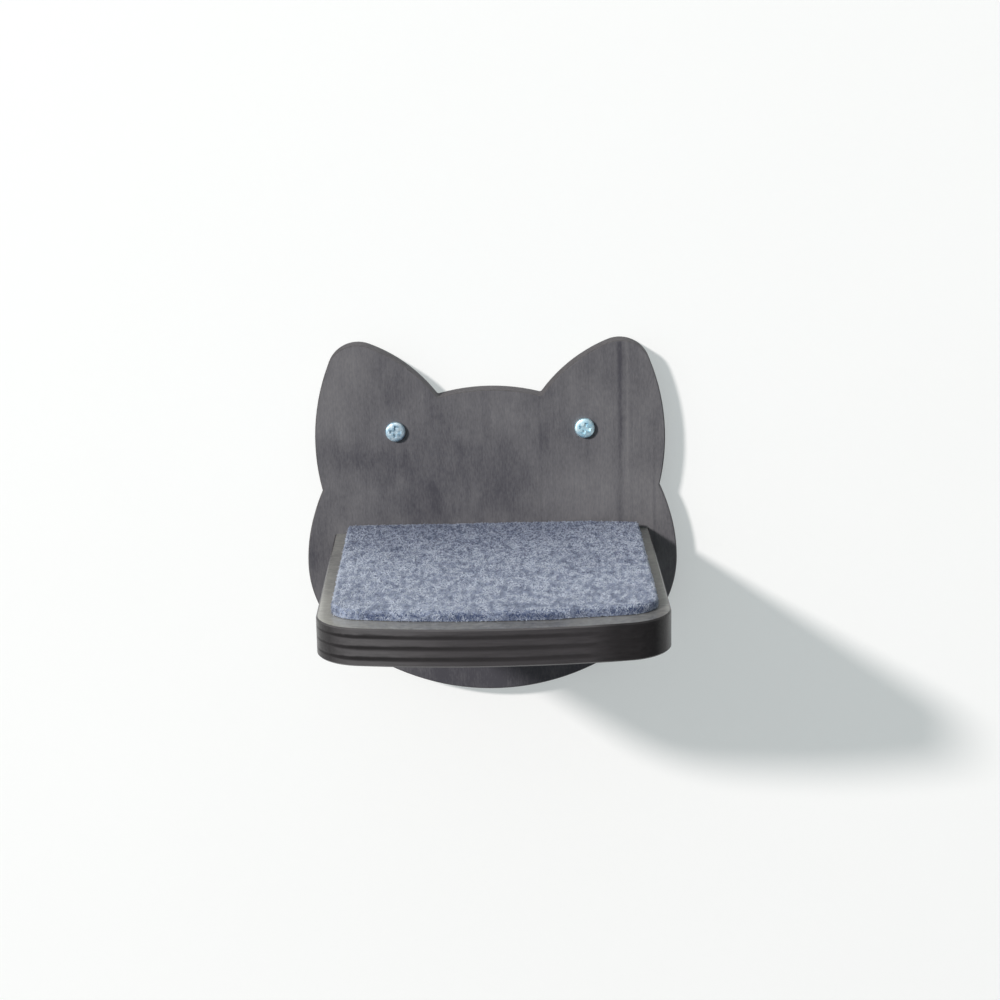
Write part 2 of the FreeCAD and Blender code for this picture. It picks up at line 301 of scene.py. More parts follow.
@dataclass(frozen=True)
class StainedPlywood(Finish):
    """Charcoal-stained plywood, sanded: cloudy long-grained veneers, and edges where the crossed plies drink
    more stain and show as dark lines between broader plies that keep a faint polish."""

    # Shares of the normal over which an end, an arris, a flank and the veneer next to a chamfer come on
    END = (0.03, 0.5)
    ARRIS = (0.15, 0.45)
    FLANK = (-0.7, 0.7)
    VENEER = 0.25
    # Heights of the wave across the plies where a dark line starts and where it is full
    LINE = (0.25, -1.0)
    # Changes of thickness to a ply, and the middle of the grain's noise that shades the edges
    UNEVEN = 0.8
    FIBRE = (0.25, 0.75)

    stack: Axis
    grain: Axis
    cross: Axis
    outer_face_mm: float
    ply_mm: float
    stains_and_painted_light: tuple[TonePatch, ...]
    chamfer_veneer: float
    streaks: tuple[Streak, ...] = ()
    dark: str = "#46464C"
    pale: str = "#767678"
    long_edge: str = "#3A383A"
    end_edge: str = "#262526"
    grain_width_mm: float = 1.6
    grain_length_mm: float = 24.0
    fleck_width_mm: float = 0.8
    fleck_length_mm: float = 2.8
    blotch_width_mm: float = 9.0
    blotch_length_mm: float = 17.0
    cloud_mm: float = 45.0
    waver_mm: float = 2.5
    grain_share: float = 0.34
    fleck_share: float = 0.8
    blotch_share: float = 0.5
    cloud_share: float = 0.65
    gloss: float = 0.2
    edge_gloss: float = 0.8
    dull_gloss: float = 0.05
    ply_uneven: float = 0.5
    ply_waver: float = 0.3
    line_crisp_mm: float = -60.0
    line_faint_mm: float = 70.0
    line_faint: float = 0.45
    # How dark end grain is, and where along the board its far end turns that dark, which is past any board by
    # default
    end_darkness: float = 0.85
    darker_end_mm: tuple[float, float] = (900.0, 901.0)
    fibre_shade: tuple[float, float] = (0.78, 1.22)
    # Painted light: scales for edges that face one way or the other across the grain, and the darkening
    # painted on arrises
    painted_flank_light: tuple[float, float] = (1.0, 1.0)
    painted_arris_shade: float = 1.0
    roughness: tuple[float, float] = (0.42, 0.58)
    edge_roughness: float = 0.27
    relief: float = 0.25
    relief_mm: float = 0.12

    def stretched(self, tree: NodeTree, place: NodeSocket, width: float, length: float) -> Node:
        """Add a noise that is drawn out along the grain.

        Args:
            tree: The material's tree.
            place: The object coordinates.
            width: The pattern's size across the grain, in millimetres.
            length: Its size along the grain, in millimetres.

        Returns:
            The noise.
        """
        scale = [1 / (width * MM)] * 3
        scale[self.grain] = 1 / (length * MM)
        mapped = add(tree, "ShaderNodeMapping", {"Vector": place, "Scale": scale})
        return add(tree, NOISE, {"Vector": mapped, "Scale": 1.0, "Detail": 4.0, "Roughness": 0.6})

    def veneer(self, tree: NodeTree, place: NodeSocket, parts: NodeOutputs, fibre: Node) -> Node:
        """Add the colour of the outer veneers.

        Args:
            tree: The material's tree.
            place: The object coordinates.
            parts: The same, apart.
            fibre: The noise of the grain.

        Returns:
            The node that gives the colour.
        """
        fleck = self.stretched(tree, place, self.fleck_width_mm, self.fleck_length_mm)
        blotch = self.stretched(tree, place, self.blotch_width_mm, self.blotch_length_mm)
        cloud = add(tree, NOISE, {"Vector": place, "Scale": 1 / (self.cloud_mm * MM), "Detail": 2.0})
        layers = ((fibre, self.grain_share), (fleck, self.fleck_share), (blotch, self.blotch_share),
                  (cloud, self.cloud_share))
        # A noise averages a half, and so does the tone with this start
        tone: Any = 0.5 * (1 - sum(share for _, share in layers))
        for pattern, share in layers:
            tone = add(tree, MATH, {0: pattern, 1: share, 2: tone}, operation="MULTIPLY_ADD")
        waver = add(tree, MATH, {0: blotch, 1: self.waver_mm * MM, 2: parts[self.cross]},
                    operation="MULTIPLY_ADD")
        for streak in self.streaks:
            middle = (streak.place_mm + self.waver_mm / 2) * MM
            away = add(tree, MATH, {0: waver, 1: middle}, operation="SUBTRACT")
            away = add(tree, MATH, {0: away}, operation="ABSOLUTE")
            line = add(tree, RANGE, {"Value": away, FROM: (0.0, streak.width_mm / 2 * MM),
                                     TO: (streak.depth, 0.0)}, interpolation_type="SMOOTHSTEP")
            left = add(tree, RANGE, {"Value": parts[self.grain],
                                     FROM: (streak.full_mm * MM, streak.gone_mm * MM), TO: (1.0, 0.0)})
            line = add(tree, MATH, {0: line, 1: left}, operation="MULTIPLY")
            tone = add(tree, MATH, {0: tone, 1: line}, operation="SUBTRACT")
        # Some of these patches are painted light: shade under the step on the plate, and reflections on the
        # step's top
        for tone_patch in self.stains_and_painted_light:
            patch = tone_patch.lay(tree, place, (self.cross, self.grain), blotch)
            tone = add(tree, MATH, {0: tone, 1: patch}, operation="SUBTRACT")
        tone = add(tree, "ShaderNodeClamp", {"Value": tone})
        return add(tree, MIX, {"Factor": tone, "A": linear(self.dark), "B": linear(self.pale)},
                   data_type="RGBA")

    def edge(self, tree: NodeTree, depth: NodeSocket, run: NodeSocket, squares: dict[Axis, Node],
             fibre: Node) -> tuple[Node, Node]:
        """Add the colour of the edges, where dark crossed plies lie between broader long-grained ones.

        Args:
            tree: The material's tree.
            depth: The coordinate through the plies.
            run: The coordinate along the grain. The lines fade along it, and its far end is darker.
            squares: The square of the normal's part along each axis.
            fibre: The noise of the grain, which makes the ply lines waver.

        Returns:
            The node that gives the colour, and the one that is 1 on a dark line or at the end, else 0.
        """
        layer = add(tree, MATH, {0: depth, 1: 1 / (self.ply_mm * MM), 2: -self.outer_face_mm / self.ply_mm},
                    operation="MULTIPLY_ADD")
        uneven = add(tree, NOISE, {"W": layer, "Scale": self.UNEVEN, "Detail": 0.0}, noise_dimensions="1D")
        for pattern, share in ((uneven, self.ply_uneven), (fibre, self.ply_waver)):
            layer = add(tree, MATH, {0: pattern, 1: share, 2: layer}, operation="MULTIPLY_ADD")
        layer = add(tree, MATH, {0: layer, 1: (self.ply_uneven + self.ply_waver) / 2}, operation="SUBTRACT")
        wave = add(tree, MATH, {0: layer, 1: math.pi}, operation="MULTIPLY")
        wave = add(tree, MATH, {0: wave}, operation="SINE")
        # From the outer face inwards is up the axis in the plate and down it in the step
        wave = add(tree, MATH, {0: wave, 1: 1.0 if self.stack is Axis.Y else -1.0}, operation="MULTIPLY")
        line = add(tree, RANGE, {"Value": wave, FROM: self.LINE}, interpolation_type="SMOOTHSTEP")
        fading = add(tree, RANGE, {"Value": run, FROM: (self.line_crisp_mm * MM, self.line_faint_mm * MM),
                                   TO: (1.0, self.line_faint)})
        end = add(tree, MATH, {0: line, 1: fading}, operation="MULTIPLY")
        turned = add(tree, RANGE, {"Value": squares[self.grain], FROM: self.END, TO: (0.0, self.end_darkness)})
        # Towards the far end along the grain the edge is made darker
        end_darkness = add(tree, RANGE, {"Value": run, FROM: (self.darker_end_mm[0] * MM, self.darker_end_mm[1] * MM),
                                   TO: (0.0, self.end_darkness)}, interpolation_type="SMOOTHSTEP")
        for darker in (turned, end_darkness):
            end = add(tree, MATH, {0: end, 1: darker}, operation="MAXIMUM")
        colour = add(tree, MIX, {"Factor": end, "A": linear(self.long_edge), "B": linear(self.end_edge)},
                     data_type="RGBA")
        shade = add(tree, RANGE, {"Value": fibre, FROM: self.FIBRE, TO: self.fibre_shade})
        return add(tree, VECTOR, {0: colour, "Scale": shade}, operation="SCALE"), end

    def surface(self, tree: NodeTree, place: NodeSocket) -> Node:
        """Build the shader of the veneers and the edges.

        Args:
            tree: The material's tree.
            place: The object coordinates.

        Returns:
            The shader.
        """
        parts = add(tree, APART, {"Vector": place}).outputs
        facing = add(tree, APART, {"Vector": add(tree, "ShaderNodeNewGeometry").outputs["Normal"]}).outputs
        squares = {axis: add(tree, MATH, {0: facing[axis], 1: 2.0}, operation="POWER") for axis in Axis}
        fibre = self.stretched(tree, place, self.grain_width_mm, self.grain_length_mm)
        on_face = add(tree, RANGE, {"Value": squares[self.stack],
                                    FROM: (self.chamfer_veneer, self.chamfer_veneer + self.VENEER)},
                      interpolation_type="SMOOTHSTEP")
        edge, dull = self.edge(tree, parts[self.stack], parts[self.grain], squares, fibre)
        # Painted light on the edges: those facing the key are darker and those facing away lighter, and the
        # arrises are darker, which evens out their real light and shade
        flank = add(tree, RANGE, {"Value": facing[self.cross], FROM: self.FLANK, TO: self.painted_flank_light})
        arris = add(tree, RANGE, {"Value": squares[self.stack], FROM: self.ARRIS,
                                  TO: (1.0, self.painted_arris_shade)})
        for shade in (flank, arris):
            edge = add(tree, VECTOR, {0: edge, "Scale": shade}, operation="SCALE")
        veneer = self.veneer(tree, place, parts, fibre)
        colour = add(tree, MIX, {"Factor": on_face, "A": edge, "B": veneer}, data_type="RGBA")
        rough = add(tree, RANGE, {"Value": fibre, FROM: SOFT, TO: self.roughness})
        rough = add(tree, MIX, {"Factor": on_face, "A": self.edge_roughness, "B": rough}, data_type="FLOAT")
        polish = add(tree, RANGE, {"Value": dull, TO: (self.edge_gloss, self.dull_gloss)})
        gloss = add(tree, MIX, {"Factor": on_face, "A": polish, "B": self.gloss}, data_type="FLOAT")
        relief = add(tree, "ShaderNodeBump", {"Height": fibre, "Strength": self.relief,
                                              "Distance": self.relief_mm * MM})
        return add(tree, PRINCIPLED, {"Base Color": colour, "Roughness": rough, "Normal": relief,
                                      "Specular IOR Level": gloss})


class FeltLayer(Enum):
    """Which part of the carpet a felt finish colours."""

    GROUND = "ground"
    FIBRE = "fibre"


@dataclass(frozen=True)
class NeedleFelt(Finish):
    """Needle-punched carpet of mixed polyester fibres: matt, with navy, blue-grey and pale fibres heathered
    together and a soft sheen where fibre tips catch the light. Its tone is darkened towards the wall plate as
    painted shade."""

    layer: FeltLayer = FeltLayer.FIBRE
    dark: str = "#37435F"
    middle: str = "#8B96AA"
    pale: str = "#BFC8D5"
    heather_mm: float = 1.6
    mottled: tuple[float, float] = (0.35, 0.7)
    # The felt under the fibres only reaches this tone, kept darker than them as painted shade between the
    # fibres
    shaded_ground_tone: float = 0.55
    # Painted shade by the wall plate: full at rear_mm and gone further forward
    rear_mm: float = -20.0
    wall_shade_gone_mm: float = -120.0
    painted_wall_shade: float = 0.33
    # The cut face at the front is darker below the top, in clumps, partly as denser cut felt and partly as
    # painted shade between its fibres, but its lowest fuzz is pale again
    light_mm: float = -50.3
    cut_mm: float = -51.9
    foot_mm: float = -54.4
    cut_dark_and_shade: float = 0.22
    clumped: tuple[float, float] = (0.1, 1.9)
    foot_share: float = 0.1
    patch_mm: float = 12.0
    patches: tuple[TonePatch, ...] = (
        TonePatch(-70.0, -70.0, 12.0, 42.0, -0.12),
        TonePatch(-33.0, -20.0, 20.0, 14.0, 0.11),
        TonePatch(34.0, -20.0, 26.0, 12.0, 0.08),
        TonePatch(60.0, -46.0, 22.0, 28.0, -0.12),
        TonePatch(51.0, -98.0, 16.0, 14.0, 0.1),
        TonePatch(4.0, -108.0, 34.0, 24.0, 0.06),
        TonePatch(-38.0, -172.0, 14.0, 14.0, -0.1),
        TonePatch(-70.0, -172.0, 12.0, 14.0, -0.1),
    )

    def surface(self, tree: NodeTree, place: NodeSocket) -> Node:
        """Build the shader of the heathered felt, with painted shade towards the wall and a cut front that is
        darker, partly as painted shade.

        Args:
            tree: The material's tree.
            place: The object coordinates.

        Returns:
            The shader.
        """
        if self.layer is FeltLayer.FIBRE:
            tone = add(tree, "ShaderNodeAttribute", attribute_name=FeltFibres.TONE).outputs["Fac"]
        else:
            mottle = add(tree, NOISE, {"Vector": place, "Scale": 1 / (self.heather_mm * MM), "Detail": 3.0,
                                       "Roughness": 0.7})
            # Painted shade between the fibres: the ground's tone stops at a darker middle
            tone = add(tree, RANGE, {"Value": mottle, FROM: self.mottled,
                                     TO: (0.0, self.shaded_ground_tone)}).outputs["Result"]
        parts = add(tree, APART, {"Vector": place}).outputs
        # Painted shade that darkens the felt towards the wall plate
        painted_wall_shade = add(tree, RANGE, {"Value": parts["Y"], FROM: (self.wall_shade_gone_mm * MM, self.rear_mm * MM),
                                   TO: (0.0, self.painted_wall_shade)}, interpolation_type="SMOOTHSTEP")
        # The cut front is darker: partly its denser felt, partly painted shade between the fibres
        cut_dark_and_shade = add(tree, RANGE, {"Value": parts["Z"], FROM: (self.cut_mm * MM, self.light_mm * MM),
                                 TO: (self.cut_dark_and_shade, 0.0)}, interpolation_type="SMOOTHSTEP")
        uneven = add(tree, NOISE, {"Vector": place, "Scale": 1 / (self.patch_mm * MM)})
        clump = add(tree, RANGE, {"Value": uneven, FROM: FIRM, TO: self.clumped})
        foot = add(tree, RANGE, {"Value": parts["Z"], FROM: (self.foot_mm * MM, self.cut_mm * MM),
                                 TO: (self.foot_share, 1.0)})
        for share in (clump, foot):
            cut_dark_and_shade = add(tree, MATH, {0: cut_dark_and_shade, 1: share}, operation="MULTIPLY")
        patches = [patch.lay(tree, place, (Axis.X, Axis.Y), uneven) for patch in self.patches]
        for darker in (painted_wall_shade, cut_dark_and_shade, *patches):
            tone = add(tree, MATH, {0: tone, 1: darker}, operation="SUBTRACT")
        lower = add(tree, RANGE, {"Value": tone, FROM: (0.0, 0.5)})
        upper = add(tree, RANGE, {"Value": tone, FROM: (0.5, 1.0)})
        colour = add(tree, MIX, {"Factor": lower, "A": linear(self.dark), "B": linear(self.middle)},
                     data_type="RGBA")
        colour = add(tree, MIX, {"Factor": upper, "A": colour, "B": linear(self.pale)}, data_type="RGBA")
        return add(tree, PRINCIPLED, {"Base Color": colour, "Roughness": 0.85, "Sheen Weight": 0.15,
                                      "Sheen Roughness": 0.5, "Specular IOR Level": 0.3})


@dataclass(frozen=True)
class ZincPlate(Finish):
    """Zinc-plated steel from a barrel bath: a bright metal, softly blurred, with cloudy blue or yellow
    chromate."""

    bright: str
    cloudy: str
    cloud_mm: float = 1.7
    roughness: tuple[float, float] = (0.46, 0.62)

    def surface(self, tree: NodeTree, place: NodeSocket) -> Node:
        """Build the shader of the cloudy plating.

        Args:
            tree: The material's tree.
            place: The object coordinates.

        Returns:
            The shader.
        """
        cloud = add(tree, NOISE, {"Vector": place, "Scale": 1 / (self.cloud_mm * MM), "Detail": 3.0})
        share = add(tree, RANGE, {"Value": cloud, FROM: FIRM})
        colour = add(tree, MIX, {"Factor": share, "A": linear(self.cloudy), "B": linear(self.bright)},
                     data_type="RGBA")
        rough = add(tree, RANGE, {"Value": cloud, FROM: SOFT, TO: (self.roughness[1], self.roughness[0])})
        return add(tree, PRINCIPLED, {"Base Color": colour, "Roughness": rough, "Metallic": 1.0})


@dataclass(frozen=True)
class BareBeech(Finish):
    """Turned beech with no finish: pinkish brown, with short darker flecks along the grain."""

    wood: str = "#C89B6E"
    fleck: str = "#9C6C44"
    fleck_width_mm: float = 0.35
    fleck_length_mm: float = 3.0
    flecked: tuple[float, float] = (0.55, 0.7)

    def surface(self, tree: NodeTree, place: NodeSocket) -> Node:
        """Build the shader of the flecked wood.

        Args:
            tree: The material's tree.
            place: The object coordinates.

        Returns:
            The shader.
        """
        across, along = 1 / (self.fleck_width_mm * MM), 1 / (self.fleck_length_mm * MM)
        mapped = add(tree, "ShaderNodeMapping", {"Vector": place, "Scale": (across, along, across)})
        flecks = add(tree, NOISE, {"Vector": mapped, "Scale": 1.0, "Detail": 2.0})
        share = add(tree, RANGE, {"Value": flecks, FROM: self.flecked})
        colour = add(tree, MIX, {"Factor": share, "A": linear(self.wood), "B": linear(self.fleck)},
                     data_type="RGBA")
        return add(tree, PRINCIPLED, {"Base Color": colour, "Roughness": 0.6})


@dataclass(frozen=True)
class ClothTape(Finish):
    """Double-sided cloth tape: milky adhesive over a fine square weave."""

    # A wave texture at a scale of 1 turns through this many radians in a metre
    BAND = 20

    film: str = "#DEDACB"
    thread: str = "#BFB9A4"
    thread_mm: float = 0.8

    def surface(self, tree: NodeTree, place: NodeSocket) -> Node:
        """Build the shader of the adhesive over the weave.

        Args:
            tree: The material's tree.
            place: The object coordinates.

        Returns:
            The shader.
        """
        scale = FULL_TURN / (self.BAND * self.thread_mm * MM)
        threads = [add(tree, "ShaderNodeTexWave", {"Vector": place, "Scale": scale}, bands_direction=way)
                   for way in ("X", "Y")]
        weave = add(tree, MATH, {0: threads[0], 1: threads[1]}, operation="MAXIMUM")
        colour = add(tree, MIX, {"Factor": weave, "A": linear(self.film), "B": linear(self.thread)},
                     data_type="RGBA")
        return add(tree, PRINCIPLED, {"Base Color": colour, "Roughness": 0.35})


@dataclass(frozen=True)
class WallPaint(Finish):
    """Matt white wall paint, rolled on. It is clear from behind and to what touches it, so that the back of
    the part can be viewed."""

    paint: str = "#FBFCFB"
    shaded: str = "#F9FAF9"
    patch_mm: float = 120.0
    white: tuple[float, float, float, float] = (0.879, 0.926, 0.926, 1.0)
    own_share: float = 0.42
    touching_mm: float = 3.0

    def surface(self, tree: NodeTree, place: NodeSocket) -> Node:
        """Build the shader of the paint.

        Args:
            tree: The material's tree.
            place: The object coordinates.

        Returns:
            The shader.
        """
        patch = add(tree, NOISE, {"Vector": place, "Scale": 1 / (self.patch_mm * MM)})
        colour = add(tree, MIX, {"Factor": patch, "A": linear(self.shaded), "B": linear(self.paint)},
                     data_type="RGBA")
        own = add(tree, MATH, {0: seen_directly(tree), 1: self.own_share}, operation="MULTIPLY")
        matt = add(tree, "ShaderNodeBsdfDiffuse", {"Color": colour})
        glow = add(tree, "ShaderNodeEmission", {"Color": self.white})
        paint = add(tree, "ShaderNodeMixShader", {0: own, 1: matt, 2: glow})
        behind = add(tree, "ShaderNodeNewGeometry").outputs["Backfacing"]
        touching = add(tree, MATH, {0: add(tree, "ShaderNodeLightPath").outputs["Ray Length"],
                                    1: self.touching_mm * MM}, operation="LESS_THAN")
        clear = add(tree, MATH, {0: behind, 1: touching}, operation="MAXIMUM")
        gone = add(tree, "ShaderNodeBsdfTransparent")
        return add(tree, "ShaderNodeMixShader", {0: clear, 1: paint, 2: gone})


@dataclass(frozen=True)
class CurtainCloth(Finish):
    """Grey stage cloth with a soft nap, which keeps the light off the right of the part and from below it."""

    cloth: str = "#8A8A8C"
    fold: str = "#77777A"
    fold_mm: float = 90.0

    def surface(self, tree: NodeTree, place: NodeSocket) -> Node:
        """Build the shader of the folds.

        Args:
            tree: The material's tree.
            place: The object coordinates.

        Returns:
            The shader.
        """
        folds = add(tree, NOISE, {"Vector": place, "Scale": 1 / (self.fold_mm * MM)})
        colour = add(tree, MIX, {"Factor": folds, "A": linear(self.cloth), "B": linear(self.fold)},
                     data_type="RGBA")
        return add(tree, "ShaderNodeBsdfDiffuse", {"Color": colour})


# Shapes that are made by node trees


@dataclass
class NodeShape:
    """A Geometry Nodes tree that makes a mesh from named counts and amounts."""

    name: str
    counts: tuple[str, ...]
    amounts: tuple[str, ...]

    def shape(self, tree: NodeTree, sizes: NodeOutputs) -> Node:
        """Build the shape from the tree's inputs and return its last node."""
        raise NotImplementedError

    def tree(self) -> NodeTree:
        """Return the node tree with its named inputs.

        Returns:
            The tree, made at the first call.
        """
        made = bpy.data.node_groups.get(self.name)
        if made is not None:
            return made
        made = bpy.data.node_groups.new(self.name, "GeometryNodeTree")
        inputs = {"NodeSocketGeometry": ("Geometry",), "NodeSocketInt": self.counts,
                  "NodeSocketFloat": self.amounts, "NodeSocketMaterial": ("Material",)}
        for kind, labels in inputs.items():
            for label in labels:
                made.interface.new_socket(label, in_out="INPUT", socket_type=kind)
        made.interface.new_socket("Geometry", in_out="OUTPUT", socket_type="NodeSocketGeometry")
        sizes = add(made, "NodeGroupInput").outputs
        shaped = add(made, "GeometryNodeSetShadeSmooth", {"Geometry": self.shape(made, sizes)})
        realized = add(made, "GeometryNodeRealizeInstances", {"Geometry": shaped})
        dressed = add(made, "GeometryNodeSetMaterial", {"Geometry": realized, "Material": sizes["Material"]})
        add(made, "NodeGroupOutput", {"Geometry": dressed})
        return made

    def mesh(self, values: dict[str, Any], base: Mesh | None = None) -> Mesh:
        """Run the tree and return a plain mesh.

        Args:
            values: A value for each named input.
            base: The mesh that the tree works on, if it needs one.

        Returns:
            The mesh.
        """
        holder = new_object(self.name, base or bpy.data.meshes.new(self.name))
        modifier = holder.modifiers.new(self.name, "NODES")
        modifier.node_group = self.tree()
        for item in modifier.node_group.interface.items_tree:
            if item.in_out == "INPUT" and item.name in values:
                modifier[item.identifier] = values[item.name]
        return plain_mesh(holder)


@dataclass
class Rod(NodeShape):
    """A round rod along Y whose radius follows a rule, with flat closed ends."""

    # The outermost rows of the grid are drawn in to the axis and close the ends
    END_ROW = 0.49999
    MERGED = 1e-6

    def radius(self, tree: NodeTree, sizes: NodeOutputs, along: Node, turn: Node) -> Node:
        """Build the radius from the place along the rod and the share of a turn, and return its last node."""
        raise NotImplementedError

    def shape(self, tree: NodeTree, sizes: NodeOutputs) -> Node:
        """Roll a grid into a rod.

        Args:
            tree: The tree.
            sizes: The tree's inputs.

        Returns:
            The node that gives the rod.
        """
        grid = add(tree, "GeometryNodeMeshGrid", {"Size X": 1.0, "Size Y": 1.0, "Vertices X": sizes["Rings"],
                                                  "Vertices Y": sizes["Sides"]})
        place = add(tree, APART, {"Vector": add(tree, "GeometryNodeInputPosition")}).outputs
        turn = add(tree, MATH, {0: place["Y"], 1: 0.5}, operation="ADD")
        gaps = add(tree, MATH, {0: sizes["Rings"], 1: 1.0}, operation="SUBTRACT")
        step = add(tree, MATH, {0: 1.0, 1: gaps}, operation="DIVIDE")
        last = add(tree, MATH, {0: 0.5, 1: step}, operation="SUBTRACT")
        first = add(tree, MATH, {0: last, 1: -1.0}, operation="MULTIPLY")
        along = add(tree, RANGE, {"Value": place["X"], FROM: (first, last), TO: (0.0, sizes["Length"])})
        reach = add(tree, MATH, {0: place["X"]}, operation="ABSOLUTE")
        inside = add(tree, MATH, {0: reach, 1: self.END_ROW}, operation="LESS_THAN")
        radius = add(tree, MATH, {0: self.radius(tree, sizes, along, turn), 1: inside}, operation="MULTIPLY")
        angle = add(tree, MATH, {0: turn, 1: FULL_TURN}, operation="MULTIPLY")
        shares = [add(tree, MATH, {0: angle}, operation=way) for way in ("COSINE", "SINE")]
        across, upward = [add(tree, MATH, {0: radius, 1: share}, operation="MULTIPLY") for share in shares]
        rolled = add(tree, JOINED, {"X": across, "Y": along, "Z": upward})
        moved = add(tree, "GeometryNodeSetPosition", {"Geometry": grid, "Position": rolled})
        return add(tree, "GeometryNodeMergeByDistance", {"Geometry": moved, "Distance": self.MERGED})


@dataclass
class ThreadedShank(Rod):
    """A wood screw's shank: bare at first, then a right-hand thread that runs out into a point."""

    # Where a thread's flank leaves the crest and where it meets the core, in pitches from the crest
    CREST = 0.06
    ROOT = 0.34
    TIP_SHARE = 0.03

    name: str = "threaded_shank"
    counts: tuple[str, ...] = ("Rings", "Sides")
    amounts: tuple[str, ...] = ("Length", "Bare", "Bare Radius", "Core Radius", "Crest Radius", "Pitch",
                                "Tip")

    def radius(self, tree: NodeTree, sizes: NodeOutputs, along: Node, turn: Node) -> Node:
        """Build the radius of the bare part, the thread and the point.

        Args:
            tree: The tree.
            sizes: The tree's inputs.
            along: The place along the rod.
            turn: The share of a turn.

        Returns:
            The node that gives the radius.
        """
        turns = add(tree, MATH, {0: along, 1: sizes["Pitch"]}, operation="DIVIDE")
        phase = add(tree, MATH, {0: turns, 1: turn}, operation="ADD")
        phase = add(tree, MATH, {0: phase}, operation="FRACT")
        phase = add(tree, MATH, {0: phase, 1: 0.5}, operation="SUBTRACT")
        phase = add(tree, MATH, {0: phase}, operation="ABSOLUTE")
        ridge = add(tree, RANGE, {"Value": phase, FROM: (self.CREST, self.ROOT), TO: (1.0, 0.0)})
        grown = add(tree, MATH, {0: sizes["Bare"], 1: sizes["Pitch"]}, operation="ADD")
        begun = add(tree, RANGE, {"Value": along, FROM: (sizes["Bare"], grown)})
        ridge = add(tree, MATH, {0: ridge, 1: begun}, operation="MULTIPLY")
        height = add(tree, MATH, {0: sizes["Crest Radius"], 1: sizes["Core Radius"]}, operation="SUBTRACT")
        core = add(tree, MIX, {"Factor": begun, "A": sizes["Bare Radius"], "B": sizes["Core Radius"]},
                   data_type="FLOAT")
        radius = add(tree, MATH, {0: ridge, 1: height, 2: core}, operation="MULTIPLY_ADD")
        shoulder = add(tree, MATH, {0: sizes["Length"], 1: sizes["Tip"]}, operation="SUBTRACT")
        taper = add(tree, RANGE, {"Value": along, FROM: (shoulder, sizes["Length"]),
                                  TO: (1.0, self.TIP_SHARE)})
        return add(tree, MATH, {0: radius, 1: taper}, operation="MULTIPLY")


@dataclass
class FlutedRod(Rod):
    """A dowel: straight flutes that let the glue escape, and chamfered ends."""

    name: str = "fluted_rod"
    counts: tuple[str, ...] = ("Rings", "Sides", "Flutes")
    amounts: tuple[str, ...] = ("Length", "Radius", "Chamfer", "Flute Depth")

    def radius(self, tree: NodeTree, sizes: NodeOutputs, along: Node, turn: Node) -> Node:
        """Build the radius of the flutes and the chamfers.

        Args:
            tree: The tree.
            sizes: The tree's inputs.
            along: The place along the rod.
            turn: The share of a turn.

        Returns:
            The node that gives the radius.
        """
        angle = add(tree, MATH, {0: turn, 1: sizes["Flutes"]}, operation="MULTIPLY")
        angle = add(tree, MATH, {0: angle, 1: FULL_TURN}, operation="MULTIPLY")
        wave = add(tree, MATH, {0: angle}, operation="COSINE")
        cut_dark_and_shade = add(tree, RANGE, {"Value": wave, FROM: (-1.0, 1.0), TO: (0.0, sizes["Flute Depth"])})
        fluted = add(tree, MATH, {0: sizes["Radius"], 1: cut_dark_and_shade}, operation="SUBTRACT")
        to_end = add(tree, MATH, {0: sizes["Length"], 1: along}, operation="SUBTRACT")
        nearest = add(tree, MATH, {0: along, 1: to_end}, operation="MINIMUM")
        end = add(tree, MATH, {0: sizes["Radius"], 1: sizes["Chamfer"]}, operation="SUBTRACT")
        cone = add(tree, RANGE, {"Value": nearest, FROM: (0.0, sizes["Chamfer"]), TO: (end, sizes["Radius"])})
        return add(tree, MATH, {0: fluted, 1: cone}, operation="MINIMUM")


